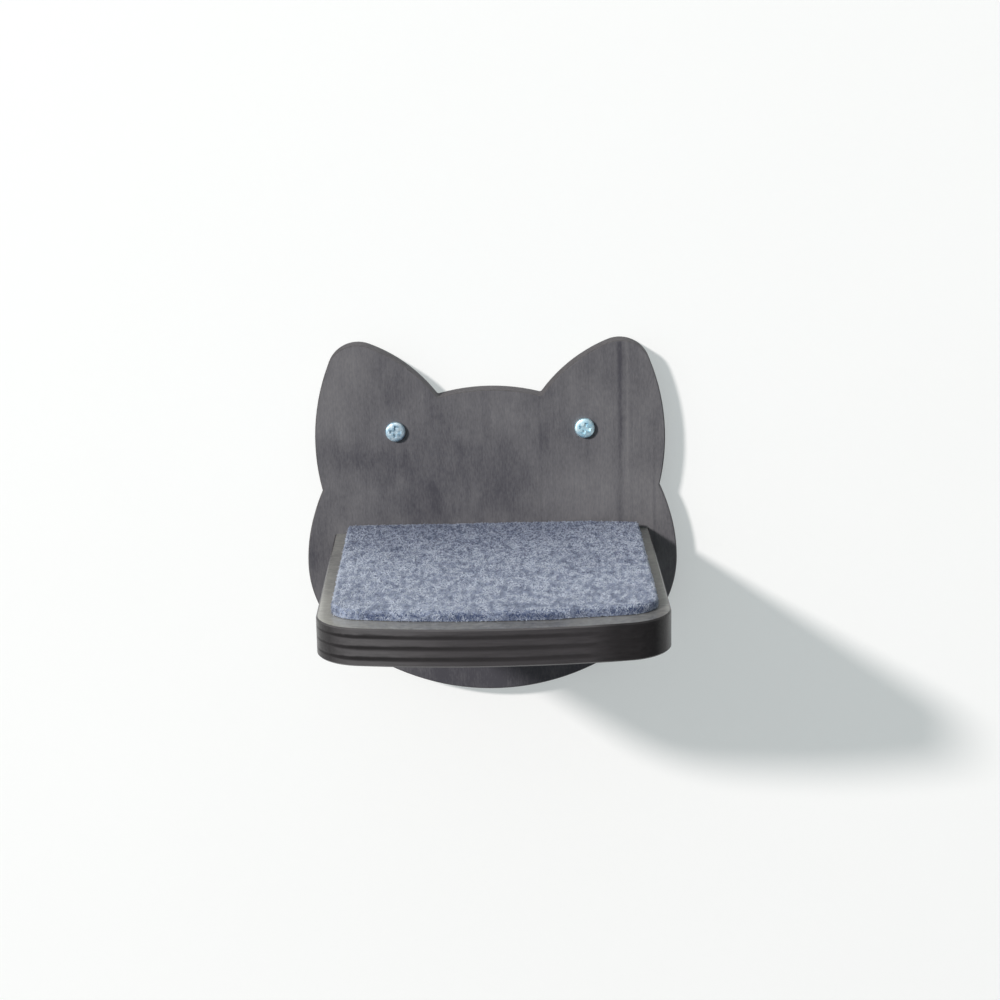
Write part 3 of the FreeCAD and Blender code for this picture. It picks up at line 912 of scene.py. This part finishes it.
@dataclass
class FeltFibres(NodeShape):
    """Curled fibres strewn over a surface, kept off the wall plate and the step. Each has its own tone, and
    tones gather in clumps drawn out along the carding."""

    TONE = "tone"
    CURLS = 8
    CURL_SEED = 11
    # How far a curl's handles and its end stray, and how low its ends lie, in lengths of the fibre
    BENDS = ((-0.4, 0.4), (-0.6, 0.6), (0.05, 0.25))
    SKEW = (-0.3, 0.3)
    ENDS = -0.05
    SHORTEST = 0.55
    # Faces that look down or at the wall plate get no fibres
    LOWEST_FACING = -0.3
    REARMOST_FACING = 0.9
    # Fibres are matted together at the front, and their own tones show more towards the wall
    MATTED = -165.0 * MM
    CRISP = -30.0 * MM
    OWN_TONE = (0.1, 1.4)
    # The size of each kind of clump, and its darkest and palest tone
    CLUMPS = (
        ((2.6 * MM, 7.5 * MM, 2.6 * MM), 0.22, 1.18),
        ((7.0 * MM, 15.0 * MM, 7.0 * MM), -0.2, 0.2),
    )

    name: str = "felt_fibres"
    counts: tuple[str, ...] = ("Seed",)
    amounts: tuple[str, ...] = ("Density", "Length", "Thickness", "Tilt", "Flattest", "Paler", "Back",
                                "Floor")

    def curls(self, tree: NodeTree, sizes: NodeOutputs) -> Node:
        """Build a few curled fibres, each one unit long and a few dozen faces.

        Args:
            tree: The tree.
            sizes: The tree's inputs.

        Returns:
            The node that joins them as instances.
        """
        chance = random.Random(self.CURL_SEED)
        share = add(tree, MATH, {0: sizes["Thickness"], 1: sizes["Length"]}, operation="DIVIDE")
        radius = add(tree, MATH, {0: share, 1: 0.5}, operation="MULTIPLY")
        section = add(tree, "GeometryNodeCurvePrimitiveCircle", {"Resolution": 3, "Radius": radius})
        joined = add(tree, "GeometryNodeJoinGeometry")
        for _ in range(self.CURLS):
            handles = [[chance.uniform(*bend) for bend in self.BENDS] for _ in range(2)]
            end = (0.5, chance.uniform(*self.SKEW), self.ENDS)
            curve = add(tree, "GeometryNodeCurvePrimitiveBezierSegment",
                        {"Resolution": 2, "Start": (-0.5, 0.0, self.ENDS), "Start Handle": handles[0],
                         "End Handle": handles[1], "End": end})
            fibre = add(tree, "GeometryNodeCurveToMesh", {"Curve": curve, "Profile Curve": section,
                                                          "Fill Caps": True})
            alone = add(tree, "GeometryNodeGeometryToInstance", {"Geometry": fibre})
            tree.links.new(alone.outputs[0], joined.inputs[0])
        return joined

    def shape(self, tree: NodeTree, sizes: NodeOutputs) -> Node:
        """Strew the fibres over the tree's surface.

        Args:
            tree: The tree.
            sizes: The tree's inputs.

        Returns:
            The node that gives the fibres.
        """
        facing = add(tree, APART, {"Vector": add(tree, "GeometryNodeInputNormal")}).outputs
        upper = add(tree, COMPARE, {"A": facing["Z"], "B": self.LOWEST_FACING}, operation="GREATER_THAN")
        front = add(tree, COMPARE, {"A": facing["Y"], "B": self.REARMOST_FACING}, operation="LESS_THAN")
        steep = add(tree, COMPARE, {"A": facing["Z"], "B": sizes["Flattest"]}, operation="LESS_EQUAL")
        open_side = upper
        for limit in (front, steep):
            open_side = add(tree, "FunctionNodeBooleanMath", {0: open_side, 1: limit}, operation="AND")
        seed = sizes["Seed"]
        strewn = add(tree, "GeometryNodeDistributePointsOnFaces",
                     {"Mesh": sizes["Geometry"], "Selection": open_side, "Density": sizes["Density"],
                      "Seed": seed})
        against = add(tree, MATH, {0: sizes["Tilt"], 1: -1.0}, operation="MULTIPLY")
        lowest = add(tree, JOINED, {"X": against, "Y": against, "Z": 0.0})
        highest = add(tree, JOINED, {"X": sizes["Tilt"], "Y": sizes["Tilt"], "Z": FULL_TURN})
        leaning = add(tree, RANDOM, {"Min": lowest, "Max": highest, "Seed": seed}, data_type="FLOAT_VECTOR")
        turned = add(tree, "FunctionNodeRotateRotation",
                     {"Rotation": strewn.outputs["Rotation"],
                      "Rotate By": add(tree, "FunctionNodeEulerToRotation", {"Euler": leaning})},
                     rotation_space="LOCAL")
        shortest = add(tree, MATH, {0: sizes["Length"], 1: self.SHORTEST}, operation="MULTIPLY")
        length = add(tree, RANDOM, {"Min": shortest, "Max": sizes["Length"], "Seed": seed}, data_type="FLOAT")
        curl = add(tree, RANDOM, {"Min": 0, "Max": self.CURLS - 1, "Seed": seed}, data_type="INT")
        laid = add(tree, "GeometryNodeInstanceOnPoints",
                   {"Points": strewn, "Instance": self.curls(tree, sizes), "Pick Instance": True,
                    "Instance Index": curl, "Rotation": turned, "Scale": length})
        own = add(tree, RANDOM, {"Min": -0.5, "Max": 0.5, "Seed": seed}, data_type="FLOAT")
        spot = add(tree, "GeometryNodeInputPosition")
        spread = add(tree, RANGE, {"Value": add(tree, APART, {"Vector": spot}).outputs["Y"],
                                   FROM: (self.MATTED, self.CRISP), TO: self.OWN_TONE})
        tone = add(tree, MATH, {0: own, 1: spread}, operation="MULTIPLY")
        for size, darkest, palest in self.CLUMPS:
            drawn = add(tree, VECTOR, {0: spot, 1: size}, operation="DIVIDE")
            shared = add(tree, NOISE, {"Vector": drawn, "Scale": 1.0, "Detail": 2.0})
            share = add(tree, RANGE, {"Value": shared, FROM: SOFT, TO: (darkest, palest)})
            tone = add(tree, MATH, {0: tone, 1: share}, operation="ADD")
        tone = add(tree, MATH, {0: tone, 1: sizes["Paler"]}, operation="ADD", use_clamp=True)
        toned = add(tree, "GeometryNodeStoreNamedAttribute",
                    {"Geometry": laid, "Name": self.TONE, "Value": tone},
                    data_type="FLOAT", domain="INSTANCE")
        real = add(tree, "GeometryNodeRealizeInstances", {"Geometry": toned})
        place = add(tree, APART, {"Vector": add(tree, "GeometryNodeInputPosition")}).outputs
        behind = add(tree, MATH, {0: place["Y"], 1: sizes["Back"]}, operation="MINIMUM")
        above = add(tree, MATH, {0: place["Z"], 1: sizes["Floor"]}, operation="MAXIMUM")
        kept = add(tree, JOINED, {"X": place["X"], "Y": behind, "Z": above})
        return add(tree, "GeometryNodeSetPosition", {"Geometry": real, "Position": kept})


# Sub-assemblies


@dataclass
class Boards:
    """The two plywood pieces: the cat-head back plate and the bowed step board."""

    plate_ply_mm: float = 2.4
    step_ply_mm: float = 18.0 / 7
    plate_streaks: tuple[Streak, ...] = (
        Streak(67.6, 4.2, 0.32, 0.0, -120.0),
        Streak(71.5, 4.0, -0.18, 0.0, -60.0),
        Streak(26.0, 3.0, 0.15, -10.0, -60.0),
        Streak(85.5, 3.0, 0.2, -30.0, 10.0),
    )
    plate_stains_and_shade: tuple[TonePatch, ...] = (
        TonePatch(-52.0, 24.0, 8.0, 20.0, 0.12),
        TonePatch(-36.0, -28.0, 16.0, 30.0, 0.3),
        TonePatch(-80.0, -13.0, 20.0, 8.0, 0.15),
        TonePatch(-80.0, 20.0, 16.0, 24.0, -0.16),
        TonePatch(-94.0, -60.0, 16.0, 26.0, 0.38),
        TonePatch(-57.0, -18.0, 14.0, 10.0, 0.25),
        TonePatch(28.0, 20.0, 12.0, 24.0, 0.18),
        TonePatch(42.0, -8.0, 14.0, 14.0, 0.18),
        TonePatch(52.0, -34.0, 22.0, 18.0, -0.22),
        TonePatch(-2.0, -22.0, 30.0, 22.0, 0.26),
        TonePatch(70.0, 20.0, 14.0, 24.0, 0.13),
        TonePatch(82.0, -42.0, 10.0, 26.0, -0.25),
        # Painted shade under the step, across the chin
        TonePatch(0.0, -140.0, 90.0, 30.0, 0.5),
    )
    step_stains_and_reflections: tuple[TonePatch, ...] = (
        TonePatch(-188.0, 10.0, 24.0, 60.0, 0.2),
        # Painted reflection of the white wall on the top's front-left strip
        TonePatch(-165.0, -82.0, 44.0, 18.0, -0.42),
        TonePatch(-180.0, 74.0, 16.0, 10.0, 0.3),
        # Painted reflection on the top's right strip
        TonePatch(-80.0, 81.0, 70.0, 10.0, -0.22),
        TonePatch(-192.0, 12.0, 2.2, 45.0, 0.4),
    )

    def dress(self) -> None:
        """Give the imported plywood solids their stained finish."""
        plate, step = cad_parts["back_plate"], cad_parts["step_board"]
        plate_front, step_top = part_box("back_plate")[0].y / MM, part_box("step_board")[1].z / MM
        # The plate's edges are painted darker where they face the key light and lighter where they face away,
        # and its arrises are painted darker
        upright = StainedPlywood(
            "stained_plywood_upright", stack=Axis.Y, grain=Axis.Z, cross=Axis.X, outer_face_mm=plate_front,
            ply_mm=self.plate_ply_mm, streaks=self.plate_streaks, stains_and_painted_light=self.plate_stains_and_shade,
            long_edge="#6C6B6D", end_edge="#5E5D5F", edge_gloss=0.0, dull_gloss=0.0, chamfer_veneer=0.6,
            painted_flank_light=(0.72, 1.4), painted_arris_shade=0.78, blotch_share=0.66)
        # The flecks of the step's top are drawn broad, because it is seen so flat that finer ones don't show
        level = StainedPlywood(
            "stained_plywood_level", stack=Axis.Z, grain=Axis.X, cross=Axis.Y, outer_face_mm=step_top,
            ply_mm=self.step_ply_mm, stains_and_painted_light=self.step_stains_and_reflections, dark="#5A5A5B", pale="#969690",
            grain_share=0.25, fleck_width_mm=2.4, fleck_length_mm=3.0, gloss=0.7, roughness=(0.1, 0.18),
            relief=0.22, chamfer_veneer=0.65, darker_end_mm=(40.0, 58.0))
        for board, finish in ((plate, upright), (step, level)):
            board.material_slots[0].material = finish.material()
            LOG.info("%s: %s", board.name, finish.name)


@dataclass(frozen=True)
class Pile:
    """A kind of fibre on the felt: how many to a square metre, the longest and its thickness, how far it may
    lean out of the surface in radians, its seed, the upward part of the flattest faces that have it, and how
    much paler it is."""

    density: float
    length: float
    thickness: float
    tilt: float
    seed: int
    flattest: float = 1.0
    paler: float = 0.0


@dataclass
class CarpetPad:
    """The felt carpet: a cut piece of needle felt that lies on the step, with the fibres of its surface."""

    CORNER_DEG = 60.0
    GROWTH = 1.6

    step_bow: float = 10.0 * MM
    corner: float = 12.0 * MM
    sideways: float = 0.6 * MM
    ragged: float = 0.8 * MM
    ragged_step: float = 21.0 * MM
    short_corner: float = 4.5 * MM
    short_from: float = 40.0 * MM
    fringe: float = 0.6 * MM
    edge_round: float = 1.6 * MM
    front_round: float = 3.4 * MM
    fine_step: float = 0.25 * MM
    wide_step: float = 1.3 * MM
    lumps: tuple[tuple[float, float], ...] = ((9.0 * MM, 0.30 * MM), (3.2 * MM, 0.25 * MM))
    plate_gap: float = 0.05 * MM
    step_gap: float = 0.1 * MM
    # Real fibres are about 0.03 mm thick. These are drawn thicker and fewer, so that they show
    tangles: int = 6
    tangle: Pile = Pile(430e3, 1.3 * MM, 0.27 * MM, 1.15, 20)
    hem: Pile = Pile(480e3, 2.3 * MM, 0.2 * MM, 1.3, 40, 0.85, 0.1)
    slot: str = "needle_felt"

    def __post_init__(self) -> None:
        """Read the pad's and the step's places from the frame, and leave room for the fringe of fibres."""
        low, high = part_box("carpet_pad")
        self.low = low + Vector((self.fringe + self.sideways, self.fringe, 0.0))
        self.high = high - Vector((self.fringe - self.sideways, 0.0, 0.0))
        self.middle = (self.low.x + self.high.x) / 2
        self.step_low, self.step_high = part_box("step_board")
        self.plate_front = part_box("back_plate")[0].y

    def front(self, x: float) -> float:
        """Give the place of the front edge, which follows the bow of the step and turns round its corners.

        Args:
            x: The place from side to side.

        Returns:
            The place along Y.
        """
        half_step = self.step_high.x
        bow_radius = (half_step ** 2 + self.step_bow ** 2) / (2 * self.step_bow)
        centre = self.step_low.y + bow_radius
        radius = centre - self.low.y
        into_corner = max(0.0, abs(x - self.middle) - (self.high.x - self.middle - self.corner))
        bowed = centre - math.sqrt(radius ** 2 - x ** 2)
        wander = self.ragged * noise.noise(Vector((x / self.ragged_step, 0.5, 0.5)))
        return bowed + wander + self.corner - math.sqrt(max(0.0, self.corner ** 2 - into_corner ** 2))

    def rear(self, x: float) -> float:
        """Give the place of the rear edge, which lies on the plate except at the right corner, cut too short.

        Args:
            x: The place from side to side.

        Returns:
            The place along Y.
        """
        share = max(0.0, (x - self.short_from) / (self.high.x - self.short_from))
        return self.high.y - self.short_corner * share ** 2

    def spaced(self, length: float) -> list[float]:
        """Divide a length into steps that are finer at both ends.

        Args:
            length: The length to divide.

        Returns:
            The places from 0 to the length.
        """
        ends = [self.fine_step]
        while ends[-1] * self.GROWTH < self.wide_step:
            ends.append(ends[-1] * self.GROWTH)
        rest = length - 2 * sum(ends)
        count = round(rest / self.wide_step)
        return list(accumulate([0.0] + ends + [rest / count] * count + ends[::-1]))

    def top(self, x: float, y: float) -> float:
        """Give the height of the felt, rounded at its cut edges and lumpy between them.

        Args:
            x: The place from side to side.
            y: The place from the wall to the front.

        Returns:
            The place along Z.
        """
        to_front, to_others = y - self.front(x), min(x - self.low.x, self.high.x - x, self.rear(x) - y)
        drop = 0.0
        for inset, radius in ((to_front, self.front_round), (to_others, self.edge_round)):
            short = max(0.0, radius - max(0.0, inset))
            drop = max(drop, radius - math.sqrt(radius ** 2 - short ** 2))
        lump = sum(height * noise.noise(Vector((x, y, 0.0)) / size) for size, height in self.lumps)
        return self.high.z - drop + lump * min(1.0, to_front / self.edge_round, to_others / self.edge_round)

    def ground(self) -> tuple[Object, float]:
        """Build the body of the felt.

        Returns:
            The piece and its flat area.
        """
        across = [self.low.x + place for place in self.spaced(self.high.x - self.low.x)]
        along = self.spaced(self.high.y - self.low.y)
        shares = [place / along[-1] for place in along]
        shape = bmesh.new()
        grid = []
        for x in across:
            reach = self.front(x) - self.rear(x)
            grid.append([shape.verts.new((x, y, self.top(x, y)))
                         for y in (self.rear(x) + share * reach for share in shares)])
        for left, right in zip(grid, grid[1:]):
            for i in range(len(shares) - 1):
                shape.faces.new((left[i], left[i + 1], right[i + 1], right[i]))
        rim = [column[0] for column in grid] + grid[-1][1:]
        rim += [column[-1] for column in grid[-2::-1]] + grid[0][-2:0:-1]
        foot = [shape.verts.new((v.co.x, v.co.y, self.low.z)) for v in rim]
        for i in range(len(rim)):
            shape.faces.new((rim[i - 1], rim[i], foot[i], foot[i - 1]))
        bottom = shape.faces.new(foot)
        area = bottom.calc_area()
        mesh = mesh_from(shape, "felt_pad")
        smooth(mesh, self.CORNER_DEG)
        mesh.materials.append(NeedleFelt("needle_felt_ground", layer=FeltLayer.GROUND).material())
        return new_object("felt_pad", mesh), area

    def fibres(self, name: str, base: Object, pile: Pile) -> Object:
        """Strew fibres over a surface.

        Args:
            name: The piece's name.
            base: The surface.
            pile: The kind of fibre.

        Returns:
            The piece.
        """
        values = {"Density": pile.density, "Length": pile.length, "Thickness": pile.thickness,
                  "Tilt": pile.tilt, "Seed": pile.seed, "Flattest": pile.flattest, "Paler": pile.paler,
                  "Back": self.plate_front - self.plate_gap, "Floor": self.step_high.z + self.step_gap,
                  "Material": NeedleFelt("needle_felt_fibre").material()}
        return new_object(name, FeltFibres().mesh(values, base.data.copy()))

    def build(self) -> None:
        pad, area = self.ground()
        loose = [self.fibres(f"felt_tangle_{i + 1}", pad, replace(self.tangle, seed=self.tangle.seed + i))
                 for i in range(self.tangles)]
        loose.append(self.fibres("felt_fringe", pad, self.hem))
        seat(pad, ("carpet_pad",))
        for piece in loose:
            seat(piece)


class HeadShape(Enum):
    """The two kinds of screw head."""

    PAN = "pan"
    COUNTERSUNK = "countersunk"


@dataclass
class Screw:
    """A cross-recessed wood screw with its thread, built with its seat at y = 0 and its shank along +Y."""

    SIDES = 64
    CROWN_STEPS = 8
    EDGE_TURNS_DEG = range(30, 91, 15)
    CORNER_DEG = 35.0
    THREAD_RINGS = 130
    THREAD_SIDES = 33
    # How deep in the recess each end of the driver lies, and how wide its wings are there
    DRIVER_ENDS = ((-0.25, 1.06), (1.0, 0.7))
    # The share of a wing's thickness that narrows with its width
    WING_TAPER = 0.4
    # The shares of the ease that a flat head's rim and a pan head's foot are cut back by
    RIM_EASE = 0.3
    FOOT_EASE = 0.5

    node: str
    head: HeadShape
    twist_deg: float
    finish: Finish
    slot: str
    head_radius: float
    head_height: float
    bare: float
    bare_radius: float
    core_radius: float
    crest_radius: float
    pitch: float
    tip: float = 5.0 * MM
    rim: float = 2.6 * MM
    edge_round: float = 1.0 * MM
    ease: float = 0.5 * MM
    wing: float = 3.4 * MM
    wing_thickness: float = 1.8 * MM
    recess_depth: float = 1.0 * MM

    def profile(self) -> list[tuple[float, float]]:
        """Give the head's outline as radius and place along the axis, from the crown to the neck.

        Returns:
            The points.
        """
        if self.head is HeadShape.COUNTERSUNK:
            neck = self.head_radius - self.bare_radius
            return [(0.0, 0.0), (self.head_radius - self.ease, 0.0),
                    (self.head_radius, self.RIM_EASE * self.ease), (self.head_radius, self.ease),
                    (self.bare_radius, neck + self.ease), (0.0, neck + self.ease)]
        flat, rise = self.head_radius - self.edge_round, self.head_height - self.rim
        dome = (flat ** 2 + rise ** 2) / (2 * rise)
        sweep = math.asin(flat / dome)
        crown = [(dome * math.sin(turn), dome * (1 - math.cos(turn)) - self.head_height)
                 for turn in (sweep * i / self.CROWN_STEPS for i in range(self.CROWN_STEPS + 1))]
        turns = [math.radians(degrees) for degrees in self.EDGE_TURNS_DEG]
        edge = [(flat + self.edge_round * math.sin(turn), self.edge_round * (1 - math.cos(turn)) - self.rim)
                for turn in turns]
        bevel = self.FOOT_EASE * self.ease
        foot = [(self.head_radius, -bevel), (self.head_radius - bevel, 0.0), (0.0, 0.0)]
        return crown + edge + foot

    def turned_head(self) -> Mesh:
        """Turn the head's outline about the axis.

        Returns:
            The closed mesh.
        """
        shape = bmesh.new()
        points = [shape.verts.new((radius, y, 0.0)) for radius, y in self.profile()]
        lines = [shape.edges.new(pair) for pair in zip(points, points[1:])]
        bmesh.ops.spin(shape, geom=points + lines, axis=(0, 1, 0), cent=(0, 0, 0), angle=FULL_TURN,
                       steps=self.SIDES)
        return mesh_from(shape, "turned_head")

    def driver(self) -> Mesh:
        """Build the tapered cross that the recess is pressed with.

        Returns:
            The closed mesh, with its wide end above the crown.
        """
        crown = self.profile()[0][1]
        shape = bmesh.new()
        rings = []
        for share, wide in self.DRIVER_ENDS:
            reach = self.wing * wide
            half = self.wing_thickness / 2 * (1 - self.WING_TAPER + self.WING_TAPER * wide)
            corner = [(reach, -half), (reach, half), (half, half)]
            ring = [Matrix.Rotation(math.radians(90 * k), 2) @ Vector(p) for k in range(4) for p in corner]
            y = crown + share * self.recess_depth
            rings.append([shape.verts.new((p.x, y, p.y)) for p in ring])
        for i in range(len(rings[0])):
            shape.faces.new((rings[0][i - 1], rings[0][i], rings[1][i], rings[1][i - 1]))
        for ring in rings:
            shape.faces.new(ring)
        twist = Matrix.Rotation(math.radians(self.twist_deg), 3, "Y")
        bmesh.ops.rotate(shape, verts=shape.verts, matrix=twist)
        return mesh_from(shape, "driver")

    def recessed_head(self) -> Mesh:
        """Press the recess into the head.

        Returns:
            The closed mesh.
        """
        head, driver = new_object("screw_head", self.turned_head()), new_object("screw_driver", self.driver())
        press = head.modifiers.new("recess", "BOOLEAN")
        press.operation, press.solver, press.object = "DIFFERENCE", "EXACT", driver
        mesh = plain_mesh(head)
        bpy.data.objects.remove(driver)
        smooth(mesh, self.CORNER_DEG)
        return mesh

    def build(self) -> None:
        """Build the screw where its solid is."""
        low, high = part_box(self.node)
        cut_dark_and_shade = self.head is HeadShape.COUNTERSUNK
        start, above = (self.ease, 0.0) if cut_dark_and_shade else (0.0, self.head_height)
        shank = ThreadedShank().mesh(
            {"Rings": self.THREAD_RINGS, "Sides": self.THREAD_SIDES, "Length": high.y - low.y - start - above,
             "Bare": self.bare, "Bare Radius": self.bare_radius, "Core Radius": self.core_radius,
             "Crest Radius": self.crest_radius, "Pitch": self.pitch, "Tip": self.tip,
             "Material": self.finish.material()})
        shank.transform(Matrix.Translation((0.0, start, 0.0)))
        head = self.recessed_head()
        shape = bmesh.new()
        for part in (head, shank):
            shape.from_mesh(part)
        bmesh.ops.recalc_face_normals(shape, faces=shape.faces)
        mesh = bpy.data.meshes.new(self.node)
        shape.to_mesh(mesh)
        shape.free()
        mesh.materials.append(self.finish.material())
        middle = (low + high) / 2
        if cut_dark_and_shade:
            placed = Matrix.Translation((middle.x, high.y, middle.z)) @ Matrix.Rotation(math.pi, 4, "X")
        else:
            placed = Matrix.Translation((middle.x, low.y + self.head_height, middle.z))
        mesh.transform(placed)
        seat(new_object(self.node.replace("screw", "wood_screw"), mesh), (self.node,))


@dataclass
class Fasteners:
    """The wall screws, the step screws, the dowels and the tape strips."""

    wall_twists: tuple[tuple[str, float], ...] = (("left", 4.0), ("right", 14.0))
    step_twists: tuple[tuple[str, float], ...] = (("left", 20.0), ("centre", 62.0), ("right", 41.0))
    dowel_sides: tuple[str, ...] = ("left", "right")
    tape_sides: tuple[str, ...] = ("left", "centre", "right")
    flutes: int = 20
    flute_sides: int = 6
    flute_depth: float = 0.3 * MM
    dowel_chamfer: float = 1.0 * MM
    dowel_rings: int = 50

    def screws(self) -> None:
        """Build all five screws."""
        # The left wall screw's head gets darker plating colours than the right one's
        blue = {"left": ZincPlate("zinc_plated_steel_darker", bright="#D6E8F1", cloudy="#8AA8B9"),
                "right": ZincPlate("zinc_plated_steel_blue", bright="#DEF8FF", cloudy="#A2CBDC")}
        yellow = ZincPlate("zinc_plated_steel_yellow", bright="#D9BE7C", cloudy="#B08D4A")
        for side, twist in self.wall_twists:
            Screw(f"wall_screw_{side}", HeadShape.PAN, twist, blue[side], "zinc_plated_steel",
                  head_radius=5.2 * MM, head_height=2.9 * MM, bare=14.0 * MM, bare_radius=1.8 * MM,
                  core_radius=1.6 * MM, crest_radius=2.5 * MM, pitch=2.2 * MM).build()
        for side, twist in self.step_twists:
            Screw(f"step_screw_{side}", HeadShape.COUNTERSUNK, twist, yellow, "yellow_zinc_steel",
                  head_radius=4.0 * MM, head_height=0.0, bare=13.0 * MM, bare_radius=1.5 * MM,
                  core_radius=1.25 * MM, crest_radius=2.0 * MM, pitch=1.8 * MM, wing=2.1 * MM,
                  wing_thickness=1.1 * MM, recess_depth=2.0 * MM).build()

    def dowels(self) -> None:
        """Build the fluted dowels."""
        for side in self.dowel_sides:
            node = f"dowel_{side}"
            low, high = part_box(node)
            mesh = FlutedRod().mesh(
                {"Rings": self.dowel_rings, "Sides": self.flute_sides * self.flutes + 1,
                 "Length": high.y - low.y, "Radius": (high.x - low.x) / 2, "Chamfer": self.dowel_chamfer,
                 "Flutes": self.flutes, "Flute Depth": self.flute_depth,
                 "Material": BareBeech("bare_beech").material()})
            mesh.transform(Matrix.Translation(((low.x + high.x) / 2, low.y, (low.z + high.z) / 2)))
            seat(new_object(f"fluted_{node}", mesh), (node,))

    def tapes(self) -> None:
        """Give the tape strips their finish."""
        for side in self.tape_sides:
            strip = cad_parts[f"pad_tape_{side}"]
            strip.material_slots[0].material = ClothTape("cloth_tape").material()
            LOG.info("%s: cloth tape", strip.name)

    def build(self) -> None:
        """Build and dress every fastener."""
        self.screws()
        self.dowels()
        self.tapes()


@dataclass
class Studio:
    """The white wall that the part hangs on, the light and the camera."""

    wall_gap: float = 0.5 * MM
    wall_half: float = 1.5
    camera_place: tuple[float, float, float] = (0.38 * MM, -1215.83 * MM, 254.32 * MM)
    camera_yaw_deg: float = 0.195
    camera_pitch_deg: float = 13.648
    camera_roll_deg: float = -1.112
    focal_px: float = 2360.8
    sensor_mm: float = 36.0
    key_direction: tuple[float, float, float] = (0.953, 1.0, -0.628)
    key_distance: float = 12.0
    key_size: tuple[float, float] = (1.5, 0.95)
    key_light: float = 3.7
    key_colour: tuple[float, float, float] = (1.0, 0.933, 0.917)
    back_place: tuple[float, float, float] = (0.8, 2.6, 1.4)
    back_size: tuple[float, float] = (1.0, 1.0)
    back_light: float = 1.2
    back_colour: tuple[float, float, float] = (1.0, 1.0, 1.0)
    room_light: tuple[float, float, float, float] = (0.53, 0.595, 0.595, 1.0)
    backdrop: tuple[float, float, float, float] = (0.95, 0.955, 0.95, 1.0)
    curtain_start: float = 0.45
    curtain_far: float = 3.0
    curtain_low: float = -1.6
    screen_top: float = -0.3
    mirrored_from: float = -0.7

    def panel(self, name: str, corners: list[tuple[float, float, float]], finish: Finish) -> Object:
        """Add a flat panel to the stage.

        Args:
            name: The panel's name.
            corners: Its corners, in order.
            finish: Its finish.

        Returns:
            The panel.
        """
        mesh = bpy.data.meshes.new(name)
        mesh.from_pydata(corners, [], [range(len(corners))])
        mesh.materials.append(finish.material())
        panel = new_object(name, mesh)
        return panel

    def room(self) -> None:
        """Build the wall behind the part, and the cloth to the right and below, which no picture shows."""
        half, back = self.wall_half, self.wall_gap
        wall = [(-half, back, -half), (half, back, -half), (half, back, half), (-half, back, half)]
        self.panel("wall", wall, WallPaint("wall_paint"))
        start, far, low = self.curtain_start, self.curtain_far, self.curtain_low
        left, top, cloth = self.mirrored_from, self.screen_top, CurtainCloth("curtain_cloth")
        curtains = {
            "curtain_front": [(start, -far, low), (start, -far, far), (far, -far, far), (far, -far, low)],
            "curtain_side": [(far, -far, low), (far, -far, far), (far, 0.0, far), (far, 0.0, low)],
            "curtain_low": [(left, -far, low), (left, -far, top), (start, -far, top), (start, -far, low)],
        }
        screens = {
            "screen_front": [(-far, -far, low), (-far, -far, top), (left, -far, top), (left, -far, low)],
            "screen_floor": [(-far, -far, low), (far, -far, low), (far, 0.0, low), (-far, 0.0, low)],
        }
        for name, corners in (curtains | screens).items():
            panel = self.panel(name, corners, cloth)
            panel.visible_camera = False
            panel.visible_glossy = name in curtains

    def lamp(self, name: str, place: Vector, size: tuple[float, float], light: float,
             colour: tuple[float, float, float]) -> None:
        """Add an area lamp that shines at the origin.

        Args:
            name: The lamp's name.
            place: Where it stands.
            size: Its width and height.
            light: The irradiance that it gives at the origin.
            colour: Its colour.
        """
        lamp = bpy.data.lights.new(name, "AREA")
        lamp.shape = "ELLIPSE"
        lamp.size, lamp.size_y = size
        lamp.energy = light * math.pi * place.length_squared
        lamp.color = colour
        stand = bpy.data.objects.new(name, lamp)
        aimed = (-place).to_track_quat("-Z", "Y").to_matrix().to_4x4()
        stand.matrix_world = Matrix.Translation(place) @ aimed
        bpy.context.scene.collection.objects.link(stand)

    def light(self) -> None:
        """Add the lamps and the light of the room."""
        towards_key = -Vector(self.key_direction).normalized()
        self.lamp("key", towards_key * self.key_distance, self.key_size, self.key_light, self.key_colour)
        self.lamp("back_fill", Vector(self.back_place), self.back_size, self.back_light, self.back_colour)

        world = bpy.data.worlds.new("room")
        world.use_nodes = True
        world.node_tree.nodes.clear()
        tree = world.node_tree
        colour = add(tree, MIX, {"Factor": seen_directly(tree), "A": self.room_light, "B": self.backdrop},
                     data_type="RGBA")
        shade = add(tree, "ShaderNodeBackground", {"Color": colour, "Strength": 1.0})
        add(tree, "ShaderNodeOutputWorld", {"Surface": shade})
        bpy.context.scene.world = world

    def camera(self) -> None:
        """Set the camera at the photograph's place and angle."""
        lens = bpy.data.cameras.new("camera")
        lens.sensor_width = self.sensor_mm
        lens.lens = self.sensor_mm * self.focal_px / IMAGE_PX
        camera = bpy.data.objects.new("camera", lens)
        turn = (Matrix.Rotation(math.radians(-self.camera_yaw_deg), 4, "Z")
                @ Matrix.Rotation(math.radians(90 - self.camera_pitch_deg), 4, "X")
                @ Matrix.Rotation(math.radians(self.camera_roll_deg), 4, "Z"))
        camera.matrix_world = Matrix.Translation(self.camera_place) @ turn
        bpy.context.scene.collection.objects.link(camera)
        bpy.context.scene.camera = camera

    def build(self) -> None:
        """Build the room, its light and the camera."""
        self.room()
        self.light()
        self.camera()
        bpy.context.scene.view_settings.view_transform = "Standard"


def main() -> None:
    """Build the part's looks in order."""
    logging.basicConfig(level=logging.INFO, format="%(name)s %(message)s")
    Studio().build()
    Boards().dress()
    CarpetPad().build()
    Fasteners().build()


if __name__ == "__main__":
    main()
